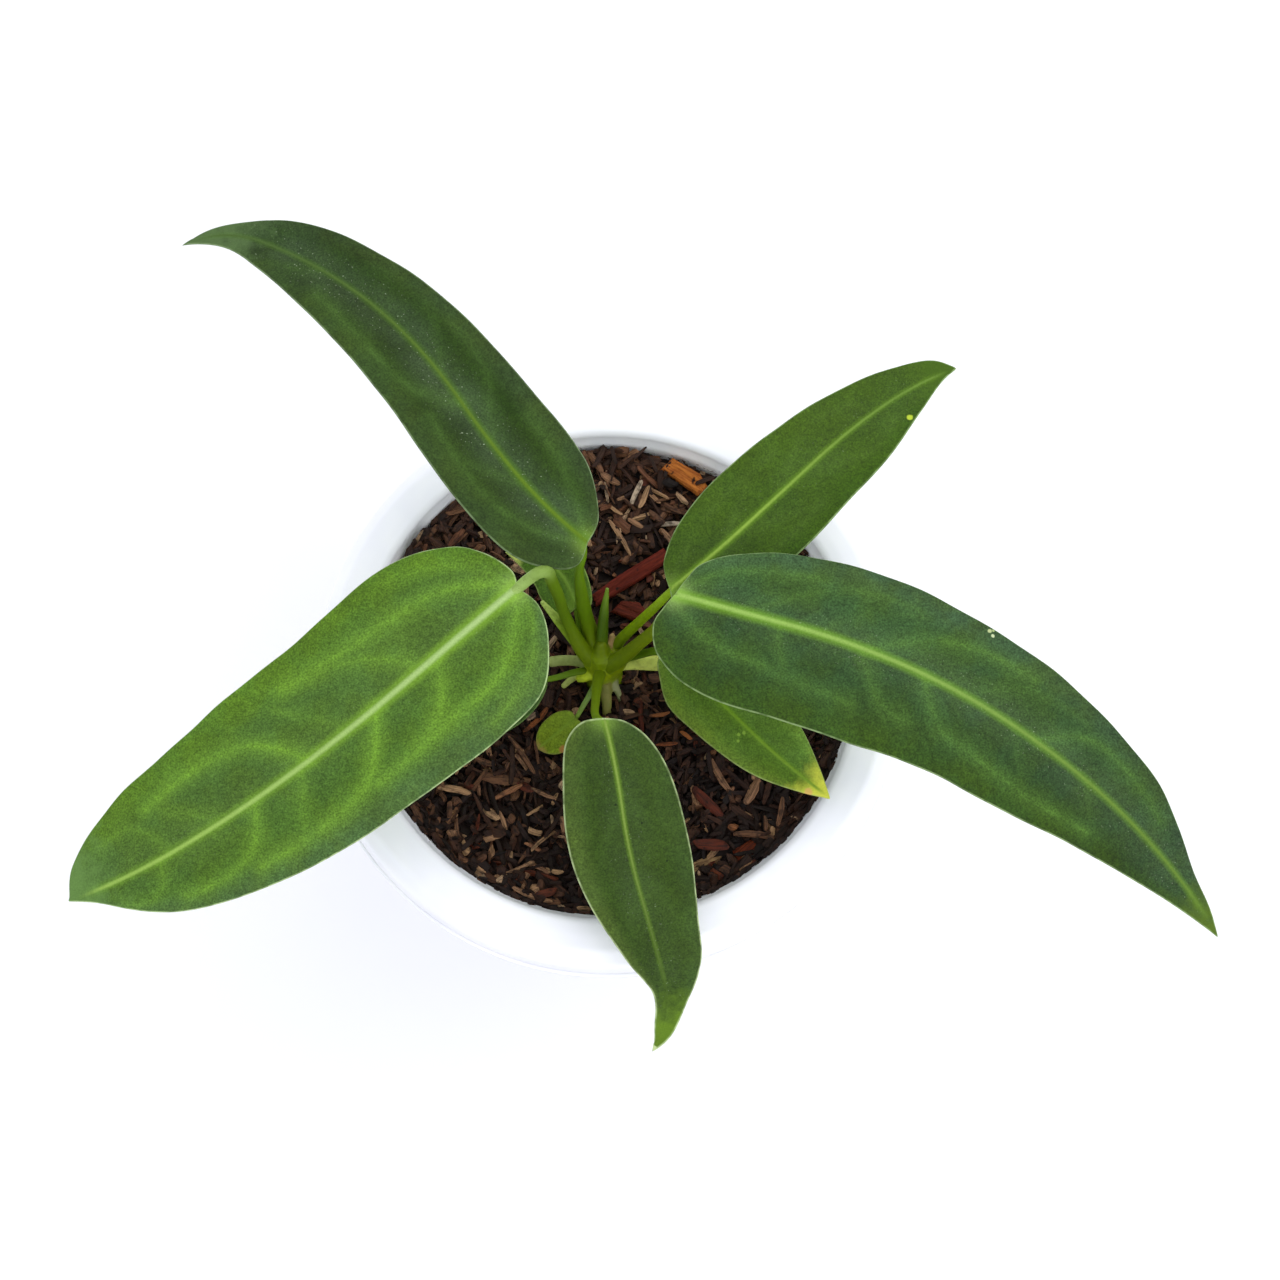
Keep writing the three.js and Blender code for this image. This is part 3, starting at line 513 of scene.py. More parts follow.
# The large chips of bark, made in the next section
BARK = {
    "bark_chip_long": dict(slot="red_bark", deep="#50180d", pale="#6c2617", at=(5.9, 25.8, -7.2),
        yaw=34, lean=3, thick=3,
        outline=[(-12.2, -1.6), (4, -2.1), (12.4, -1.6), (11.6, 1.9), (-3, 2.2), (-11.4, 1.6)]),
    "bark_chip_broad": dict(slot="red_bark", deep="#481a0e", pale="#6a2a1a", at=(5.2, 17.5, -7.6),
        yaw=-21, lean=-5, thick=2.6,
        outline=[(-4.2, -2.4), (4.6, -2.8), (5.6, 0.4), (2, 2.6), (-2.6, 1.4)]),
    "bark_chip_edge": dict(slot="orange_bark", deep="#86461a", pale="#b86e2c", at=(19.9, 52.1, -6.2),
        yaw=-31, lean=5, thick=3.4,
        outline=[(-6.8, -2.2), (5.4, -3), (6.4, 0.4), (2.8, 2.3), (-5.8, 2.2)]),
    "bark_chip_front": dict(slot="red_bark", deep="#42190c", pale="#6a2c12", at=(34.2, -44, -8.4),
        yaw=38, lean=-4, thick=2.6,
        outline=[(-4, -2.4), (3.6, -2.2), (4.2, 1.8), (-2.8, 2.6)]),
    "bark_chip_tan": dict(slot="tan_bark", deep="#5d442f", pale="#a4835a", at=(22.8, -47.4, -8.8),
        yaw=22, lean=3, thick=2.4,
        outline=[(-6.2, -0.6), (-2, -1.8), (3.6, -1.6), (6.4, 0.4), (1, 1.8), (-4, 1.4)]),
}


def clear_of_chips(x, y, reach):
    """Whether splinters leave the large chips of bark bare."""
    free = np.ones(len(x), bool)
    for chip in BARK.values():
        along, aside = swung(x - chip["at"][0], y - chip["at"][1], -math.radians(chip["yaw"]))
        long_way, cross_way = np.abs(np.array(chip["outline"])).max(0)
        free &= ((np.abs(along) > long_way + 0.35 * reach)
                 | (np.abs(aside) > cross_way + 0.35 * reach))
    return free


def strewn(count, seed):
    """Places, sizes, turns, tints and ends of the loose husk: crumbs, short bits and long
    splinters, four fifths of them even over the mouth and one fifth by the wall, in three
    layers, each sparser and lighter than the one below. None stands in the stem or through the
    wall, and only the lowest layer lies on the large chips of bark."""
    draw = np.random.default_rng(seed)
    layer = draw.choice(3, count, p=LAYER_SHARES)
    kind = draw.choice(3, count, p=KIND_SHARES)
    by_wall = draw.uniform(0, 1, count) < WALL_SHARE
    kind = np.where(by_wall & (kind == 2), 1, kind)
    length = draw.uniform(*LENGTHS[kind].T)
    width = draw.uniform(*WIDTHS[kind].T)
    inside = inside_radius(MIX_LEVEL) - 0.3
    radius = inside * np.sqrt(draw.uniform(0, 1, count))
    radius = np.where(by_wall, inside * draw.uniform(0.93, 1, count), radius)
    way = draw.uniform(0, 2 * math.pi, count)
    along_wall = way + math.pi / 2 + draw.normal(0, 0.25, count)
    yaw = np.where(radius + 0.4 * length > inside, along_wall, draw.uniform(0, 2 * math.pi, count))
    lean = draw.normal(0, 0.16 + 0.1 * layer, count)
    reach = 0.5 * length * np.cos(lean)
    ends_out = np.hypot(radius + np.abs(reach * np.cos(yaw - way)), reach * np.sin(yaw - way))
    radius = radius - np.maximum(ends_out + 0.35 * width - inside - 0.6, 0)
    x, y = radius * np.cos(way), radius * np.sin(way)
    z = POT_HEIGHT + mix_height(x, y) - 0.9 + LAYER_STEP * layer + draw.uniform(-0.5, 0.5, count)
    size = np.stack([length, width, width * draw.uniform(0.4, 0.9, count)], -1)
    tint = draw.beta(1.3, 2.2, count) * 0.62 + 0.06 * layer + 0.11 * y / MOUTH_RADIUS
    tint = np.clip(tint, 0, 0.63)
    pale = draw.uniform(0, 1, count) < 0.03 + 0.09 * (layer == 2) + 0.04 * (y > 25)
    tint = np.where(pale, draw.uniform(0.8, 0.95, count), tint)
    tint = np.where(draw.uniform(0, 1, count) < 0.02, draw.uniform(0.66, 0.7, count), tint)
    keep = (radius > 0) & (np.hypot(x + 1, y - 1) > 4.5 + reach * 0.5)
    keep &= clear_of_chips(x, y, reach) | (layer == 0)
    turned = np.stack([draw.normal(0, 0.5, count), lean, yaw], -1)
    ends = draw.choice([2.2, 6.0, 16.0], count, p=[0.2, 0.4, 0.4])
    return [v[keep] for v in (np.stack([x, y, z], -1), size, turned, tint, ends)]


def on_ledge(count, seed):
    """Crumbs of husk that lie along the ledge inside the rim, from the left round the near side
    to the right, at even odds of the turn: places, sizes, turns, tints and ends."""
    draw = np.random.default_rng(seed)
    way = draw.uniform(0.9 * math.pi, 2.15 * math.pi, count)
    radius = MOUTH_RADIUS - draw.uniform(0.7, 1.8, count)
    places = around(radius, way, POT_HEIGHT - draw.uniform(3.3, 4.3, count))
    length, width = draw.uniform(1.2, 3.2, count), draw.uniform(0.8, 1.3, count)
    turned = np.stack([draw.normal(0, 0.4, count), draw.normal(0, 0.12, count),
                       way + math.pi / 2 + draw.normal(0, 0.2, count)], -1)
    return (places, np.stack([length, width, 0.7 * width], -1), turned,
            draw.beta(1.3, 2.6, count) * 0.5, draw.choice([2.2, 6.0], count))


# Slivers that stand out on top: x, y, height over the mix, length, width, yaw in degrees, tint
CHOSEN = [
    (-2.4, 56.2, 3, 6, 1.6, 62, 0.3), (1.4, 57, 3.2, 5, 1.4, 105, 0.22),
    (5, 55.6, 2.8, 6.5, 1.7, 40, 0.42), (11.5, 54.8, 3, 5, 1.5, 118, 0.3),
    (-7, 55.5, 2.6, 6, 1.8, 150, 0.48), (15, 53.5, 2.8, 4.6, 1.4, 70, 0.2),
    (24.5, 50.5, 3, 5.4, 1.6, 20, 0.28), (27.5, 48.5, 2.8, 4.4, 1.3, 80, 0.5),
    (7.1, 47.5, 2.2, 7.2, 1.5, 66, 0.98), (9.2, 46.3, 2.3, 6.4, 1.5, 68, 0.9),
    (3.1, 35.9, 2.2, 11, 1.5, 121, 0.88), (6.9, 39.8, 1.8, 4.6, 1.4, 152, 0.84),
    (18.6, 46, 1.8, 4.4, 1.5, 134, 0.93), (15.7, 39.7, 1.9, 5.6, 1.6, 4, 0.99),
    (15.5, 50, 2, 4, 2.6, 158, 0.02), (-3, 55.3, 2.4, 6.5, 2.2, 124, 0.6),
    (8, 57.2, 4.2, 4.6, 1.1, 44, 0.3), (12.2, 41, 1.4, 5.5, 2, 141, 0.5),
    (15.3, 35.8, 2, 6.3, 1.2, 124, 0.85), (27.7, -25.3, 2.2, 10.2, 2.1, 121, 0.83),
    (35.7, -29.2, 2, 7.4, 2.5, 60, 0.84), (42.6, -34.5, 1.8, 7.5, 1.5, 80, 0.6),
    (38.8, -37.2, 1.6, 3.8, 1.5, 89, 0.6), (30.8, -38, 2.1, 2.4, 1.8, 166, 0.78),
    (24.4, -31.9, 2, 10.4, 3, 136, 0.69), (25.3, -42.3, 1.7, 8.7, 2.8, 177, 0.69),
    (12.9, -10.2, 2.2, 5.4, 1, 9, 0.77), (14.6, -17.4, 2, 5.6, 1, 4, 0.72),
    (19.5, -15, 2, 3.6, 1.6, 143, 0.76), (35.9, -40, 2, 10.3, 2, 175, 0.55),
    (-37.5, -28.8, 2.2, 8.2, 2.8, 169, 0.9), (-28.3, -34.6, 2.1, 4.8, 2.6, 145, 0.92),
    (-21, -20, 2.2, 11.6, 1.7, 124, 0.6), (-30.4, -21.9, 2, 5.7, 1.8, 160, 0.58),
    (-24.5, -29.2, 2.1, 8.1, 1.8, 28, 0.8), (-15.7, -29.8, 2, 7, 1.2, 157, 0.84),
    (-26.3, -25.8, 1.4, 10.5, 3.5, 172, 0.56), (-18.7, -10.2, 2.1, 3.4, 2.2, 29, 0.95),
    (-17.5, -11.5, 1.8, 8.6, 1.6, 46, 0.74), (-36.9, -38.5, 1.8, 5.4, 1.6, 95, 0.58),
]

bed = mix_bed()
paint(bed, "tint", np.full(len(bed.data.vertices), BED_TINT))
paint(bed, "grain", np.zeros((len(bed.data.vertices), 3)))
husk_material = husk()
put(bed, husk_material, "husk", "husk_mix")
x, y, above, length, width, yaw, tint = np.array(CHOSEN).T
on_mix = np.stack([x, y, POT_HEIGHT + mix_height(x, y) + above], -1)
chosen_size = np.stack([length, width, 0.45 * width], -1)
chosen_turn = np.stack([0 * x, 0 * x + CHOSEN_LEAN, np.radians(yaw)], -1)
for heap in (("husk_slivers", *strewn(SLIVER_COUNT, 11), 12),
             ("husk_slivers_more", *strewn(SLIVER_COUNT, 21), 22),
             ("husk_crumbs_on_ledge", *on_ledge(LEDGE_CRUMBS, 31), 32),
             ("husk_slivers_on_top", on_mix, chosen_size, chosen_turn, tint, 0 * x + CHOSEN_ENDS, 13)):
    put(slivers(*heap), husk_material, "husk", "husk_mix")

# Larger chips of pine bark and one husk shell, split flakes that lie in the top of the mix.
# Each is a flat flake with a ragged outline, layered faces and edges worn round.
FLAKE_CORNERS = 96
FLAKE_WEAR = 0.15
LAYER_EDGE = 0.12


def way_gone(points):
    """How far along a line of points each of them lies."""
    return np.concatenate([[0], np.cumsum(np.linalg.norm(np.diff(points, axis=0), axis=1))])


def read_rows(at, known, rows):
    """A list of places read at the values at, between its own rows at the known values."""
    return np.stack([np.interp(at, known, column) for column in rows.T], -1)


def bark_flake(name, chip):
    """A flake over its outline: at fraction r from the middle to the edge the half thickness is
    (thick / 2)(1 - r^8)^0.4 less 0.15 mm. The edge is drawn in by 2 to 7 hundredths with two
    sines of the way round it, and both faces are stepped in layers along the grain."""
    corners = np.array(chip["outline"], float)
    closed = np.concatenate([corners, corners[:1]])
    reach = way_gone(closed)
    place = np.linspace(0, reach[-1], FLAKE_CORNERS, endpoint=False)
    ragged = 1 - 0.05 * np.abs(np.sin(place * 2.3 + 1) * np.sin(place * 1.1)) - 0.02
    edge = read_rows(place, reach, closed) * ragged[:, None]
    rise = [0.15, 0.4, 0.65, 0.84, 0.95, 0.99]
    rows = []
    for r, side in [(r, 1) for r in rise] + [(1.0, 0)] + [(r, -1) for r in rise[::-1]]:
        flat = edge * r
        layers = LAYER_EDGE * np.sign(np.sin(flat[:, 1] * 2.4 + 0.5 * np.sin(flat[:, 0] * 0.8)))
        half = chip["thick"] / 2 * (1 - r ** 8) ** 0.4 - FLAKE_WEAR
        rows.append(np.column_stack([flat, side * (half + layers * (r < 0.95))]))
    half = chip["thick"] / 2 - FLAKE_WEAR
    grain = np.concatenate([[[0, 0, half]], *rows, [[0, 0, -half]]])
    x, y, z = grain.T
    x, z = swung(x, z, -math.radians(chip["lean"]))
    x, y = swung(x, y, math.radians(chip["yaw"]))
    points = np.stack([x, y, z], -1) + np.array(chip["at"]) + [0, 0, POT_HEIGHT]
    flake = add_piece(name + "_flake", points, *closed_tube(len(rows), FLAKE_CORNERS))
    paint(flake, "grain", grain)
    return flake


def bark(name, deep, pale):
    """Split pine bark: matte, reddish, with fibres along the flake 0.5 mm apart, dark cracks
    and a few black spots."""
    material, tree, shader, place = new_material(name + "_split_bark")
    fibres = fibrous(tree, (0.18, 2, 2), 4, 0.65)
    base = laid(tree, deep, pale, (fibres, 0.35, 0.65))
    base = laid(tree, base, "#1c0f0a", patchy(tree, place, 2.6, 0.62, 0.72))
    finished(tree, shader, base, 0.72, 0.15, [(fibres, 0.8, 0.3)])
    return material


for name, chip in BARK.items():
    put(bark_flake(name, chip), bark(name, chip["deep"], chip["pale"]), chip["slot"], name)

# The stem. A short upright crown, grown as one with its roots, the cut ends of old leaf stalks
# and the roots in the air. The rods are melted into one skin, and each keeps its own colour.
ROD_ROWS = 24
ROD_RING = 14
MELT_VOXEL = 0.4
MELT_SMOOTHING = 9
FOOT = "#667b08"  # the yellow-green of a stalk's foot
SIDE_ROOT = [1.5, 1.3, 0.9]
ROOT_COLOUR = "#c9b48a"
# Rods: route with its heights above the rim, radii along it, colour
STEM = [
    ([(-1, 0, -52), (-1, 0, -28), (-1, 0.4, -10), (-1, 1.4, 0), (-1.3, 2.6, 5)],
     [2.5, 4.4, 5, 5, 2.6], "#738906"),
    ([(-1, 1.6, 0), (-1.4, 3.6, 4.6), (-1.5, 5, 8.4)], [3, 2.4, 1.1], "#647608"),
    ([(-1, 0.8, -4), (-3.6, 2.2, 0.6), (-6, 4, 5)], [3.2, 2.6, 1.3], "#7c9009"),
    ([(-1, 1, -2), (-2.6, 4.4, 2), (-4, 7.6, 6)], [3, 2.6, 1.5], "#7a9208"),
    ([(0, 0.6, -3), (2.2, 1.1, 2.6), (4.6, 1.8, 8.2)], [3, 2.5, 1.3], "#788a06"),
    ([(0, 1, -2), (1.6, 4, 2), (3.4, 6, 6)], [2.6, 1.9, 1], "#82960a"),
    ([(-0.8, 0, -3), (-1.6, -2, 1), (-2.2, -4.2, 4.8)], [2.6, 2.1, 1.2], "#889a0c"),
    ([(0, 2.2, -2.4), (6, 2.2, -1.2), (12.8, 1.5, 0.8)], [2, 1.9, 2], "#cfdc68"),
    ([(-2, 2, -4), (-9, 3.2, -3.2), (-14.6, 2.8, -3)], [1.6, 1.4, 1.4], "#a8b568"),
    ([(-2, 1, -3), (-8, -0.6, -4.4), (-11.4, -2.9, -6.4)], [1.2, 1.1, 0.8], "#acb860"),
    ([(-1.5, 0.6, -1.6), (-7.7, -2, -3)], [1.1, 1.2, 1.35, 1.35, 0.6], "#b8cc2c"),
    ([(-0.8, -1, -2), (-0.3, -6, -6.4), (-0.2, -11, -10.5)], [1.4, 1.4, 1.2], "#7b7a3c"),
    ([(0.4, 0, -3), (2.6, -4.2, -6.6), (4, -7.4, -11)], [1, 0.9, 0.8], "#8b8f63"),
    ([(0, 2.6, 2), (1.3, 7.6, 6.4)], [1.1, 0.8], "#a98a5a"),
    ([(-1.6, 3.6, 2), (-2.5, 7.2, 6.4)], [1.3, 1.2, 0.6], "#8fa070"),
    *((route, SIDE_ROOT, ROOT_COLOUR) for route in (
        [(-1, 0, -30), (12, 9, -44), (27, 20, -70)],
        [(-1, 0, -34), (-13, 10, -50), (-26, 24, -78)],
        [(-1, 0, -38), (-14, -12, -52), (-30, -18, -82)],
        [(-1, 0, -42), (9, -14, -60), (22, -30, -86)])),
    ([(-1, 0, -48), (0, 4, -70), (-4, 6, -96)], [1.7, 1.4, 1], ROOT_COLOUR),
]


def smooth_route(points, count):
    """count places at even distances on the curve through points whose heights are given above
    the rim. Each stretch is a cubic whose end slopes weigh the two sides by the square roots of
    the distances between points."""
    points = np.asarray(points, float) + [0, 0, POT_HEIGHT]
    padded = np.concatenate([[2 * points[0] - points[1]], points, [2 * points[-1] - points[-2]]])
    w = np.linspace(0, 1, 40, endpoint=False)[:, None]
    out = []
    for p0, p1, p2, p3 in zip(padded[:-3], padded[1:-2], padded[2:-1], padded[3:]):
        d0, d1, d2 = (math.sqrt(np.linalg.norm(b - a)) for a, b in ((p0, p1), (p1, p2), (p2, p3)))
        s1 = ((p1 - p0) / d0 - (p2 - p0) / (d0 + d1) + (p2 - p1) / d1) * d1
        s2 = ((p2 - p1) / d1 - (p3 - p1) / (d1 + d2) + (p3 - p2) / d2) * d1
        out.append(p1 + s1 * w + (3 * (p2 - p1) - 2 * s1 - s2) * w ** 2
                   + (2 * (p1 - p2) + s1 + s2) * w ** 3)
    curve = np.concatenate(out + [points[-1:]])
    gone = way_gone(curve)
    return read_rows(np.linspace(0, gone[-1], count), gone, curve)


def read_evenly(values, t):
    """Evenly spaced values read at fractions t of the way from the first to the last."""
    return np.interp(t, np.linspace(0, 1, len(values)), values)


def rod(route, radii, rows=ROD_ROWS, ring=ROD_RING, section=None):
    """A round rod along a route: its corners, rows and corners a ring, with a pole at each end.
    Each ring lies square to the way, on two directions carried along without twisting; section
    scales it by the turn."""
    way = smooth_route(route, rows)
    tangent = unit(np.gradient(way, axis=0))
    side = np.cross(tangent[0], [0.3, 1, 0.1])
    sides = []
    for heading in tangent:
        side = unit(side - heading * (side @ heading))
        sides.append(side)
    sides = np.array(sides)
    other = np.cross(tangent, sides)
    turn = even_turns(ring)
    r = read_evenly(radii, np.linspace(0, 1, rows))[:, None]
    r = r * (np.ones(ring) if section is None else section(turn))
    body = (way[:, None] + (r * np.cos(turn))[..., None] * sides[:, None]
            + (r * np.sin(turn))[..., None] * other[:, None])
    return np.concatenate([way[:1], body.reshape(-1, 3), way[-1:]]), rows, ring


def joined(parts):
    """Corners and faces of several closed tubes as one list; each part is (corners, rows, ring)."""
    points, squares, fans, count = [], [], [], 0
    for corners, rows, ring in parts:
        four, three = closed_tube(rows, ring)
        points.append(corners)
        squares.append(four + count)
        fans.append(three + count)
        count += len(corners)
    return np.concatenate(points), np.concatenate(squares), np.concatenate(fans)


def melted(piece, voxel, smoothing):
    """Melts overlapping closed tubes into one skin on a grid of voxels, and smooths it."""
    melt = piece.modifiers.new("melt", "REMESH")
    melt.mode = "VOXEL"
    melt.voxel_size = voxel * MM
    melt.use_smooth_shade = True
    ease = piece.modifiers.new("ease", "SMOOTH")
    ease.factor = 0.5
    ease.iterations = smoothing
    settle(piece)


def stem_colours(piece):
    """Each corner takes the colours of the rods, weighed by the inverse fourth power of its
    distance from their middle lines less nine tenths of their radius, or of 0.15 mm if that is
    more."""
    points = np.empty(3 * len(piece.data.vertices), np.float32)
    piece.data.vertices.foreach_get("co", points)
    points = points.reshape(-1, 3) / MM
    total, weights = np.zeros((len(points), 4)), np.zeros(len(points))
    for route, radii, colour in STEM:
        way = smooth_route(route, ROD_ROWS)
        radius = read_evenly(radii, np.linspace(0, 1, ROD_ROWS))
        gap = np.linalg.norm(points[:, None] - way, axis=-1) - 0.9 * radius
        weight = 1 / np.maximum(gap.min(1), 0.15) ** 4
        total += weight[:, None] * np.array(linear(colour))
        weights += weight
    return total / weights[:, None]


def living_skin(name, colour=None, pale=None, pale_from=0.55):
    """The smooth skin of a stalk, stem or root: satin, faintly uneven, with darker patches and
    small brown specks. The colour comes from the corners, or runs from the yellow-green of the
    foot to the stalk's own colour, and to pale over the end of its length."""
    material, tree, shader, place = new_material(name)
    if colour is None:
        base = add_node(tree, "Attribute", attribute_name="skin").outputs["Color"]
    else:
        along = add_node(tree, "Attribute", attribute_name="along").outputs["Fac"]
        base = laid(tree, colour, pale, (along, pale_from, 0.97))
        base = laid(tree, FOOT, base, (along, 0.06, 0.38))
    base = laid(tree, base, "#4f6410", patchy(tree, place, 1.6, 0.4, 0.7, 0, 0.3, 3))
    base = laid(tree, base, "#5d5a2a", patchy(tree, place, 0.5, 0.7, 0.76, 0, 0.5, 1))
    pores = add_node(tree, "TexNoise", {"Vector": place, "Scale": 1 / (0.6 * MM)})
    finished(tree, shader, base, 0.45, 0.16, [(pores.outputs[0], 0.3, 0.08)])
    return material


stem = add_piece("crown_and_roots", *joined([rod(route, radii) for route, radii, colour in STEM]))
melted(stem, MELT_VOXEL, MELT_SMOOTHING)
paint(stem, "skin", stem_colours(stem))
put(stem, living_skin("stem_skin"), "stem", "stem_with_roots")

# The leaves. Each one is a stalk and a heart-based blade, grown as one: a leathery blade 0.8 mm
# thick with a velvety face, a raised pale midrib, sunken side veins that bend forward before
# the edge, and a thin pale margin. The stalk runs on a little way below the blade's midrib.
BLADE_THICKNESS = 0.8
BLADE_STEPS = 80
ROW_MM = 0.6
COLUMN_MM = 0.45
MIDRIB_DEPTH = 0.9
KEEL_WIDTH = 1.3
EDGE_ROUND = 0.6
LONG_WAVE = 0.17
SHORT_WAVE = 0.39
STALK_UNDER = 6
STALK_END = 0.5
STALK_ROWS = 60
STALK_RING = 18
VEIN_WIDTH = 0.75
VEIN_HALO = 2.7
VEIN_DEPTH = 0.2
HALO_DEPTH = 0.15
GLOW_REACH = 3.2
VELVET_CELL = 0.42
PUFF_DEPTH = 0.22
COOLER = (0.94, 1.0, 1.22, 1.0)
WARMER = (1.06, 1.0, 0.75, 1.0)
WRINKLE = (5, 1.2, 1)
WRINKLE_TURN = math.radians(45)

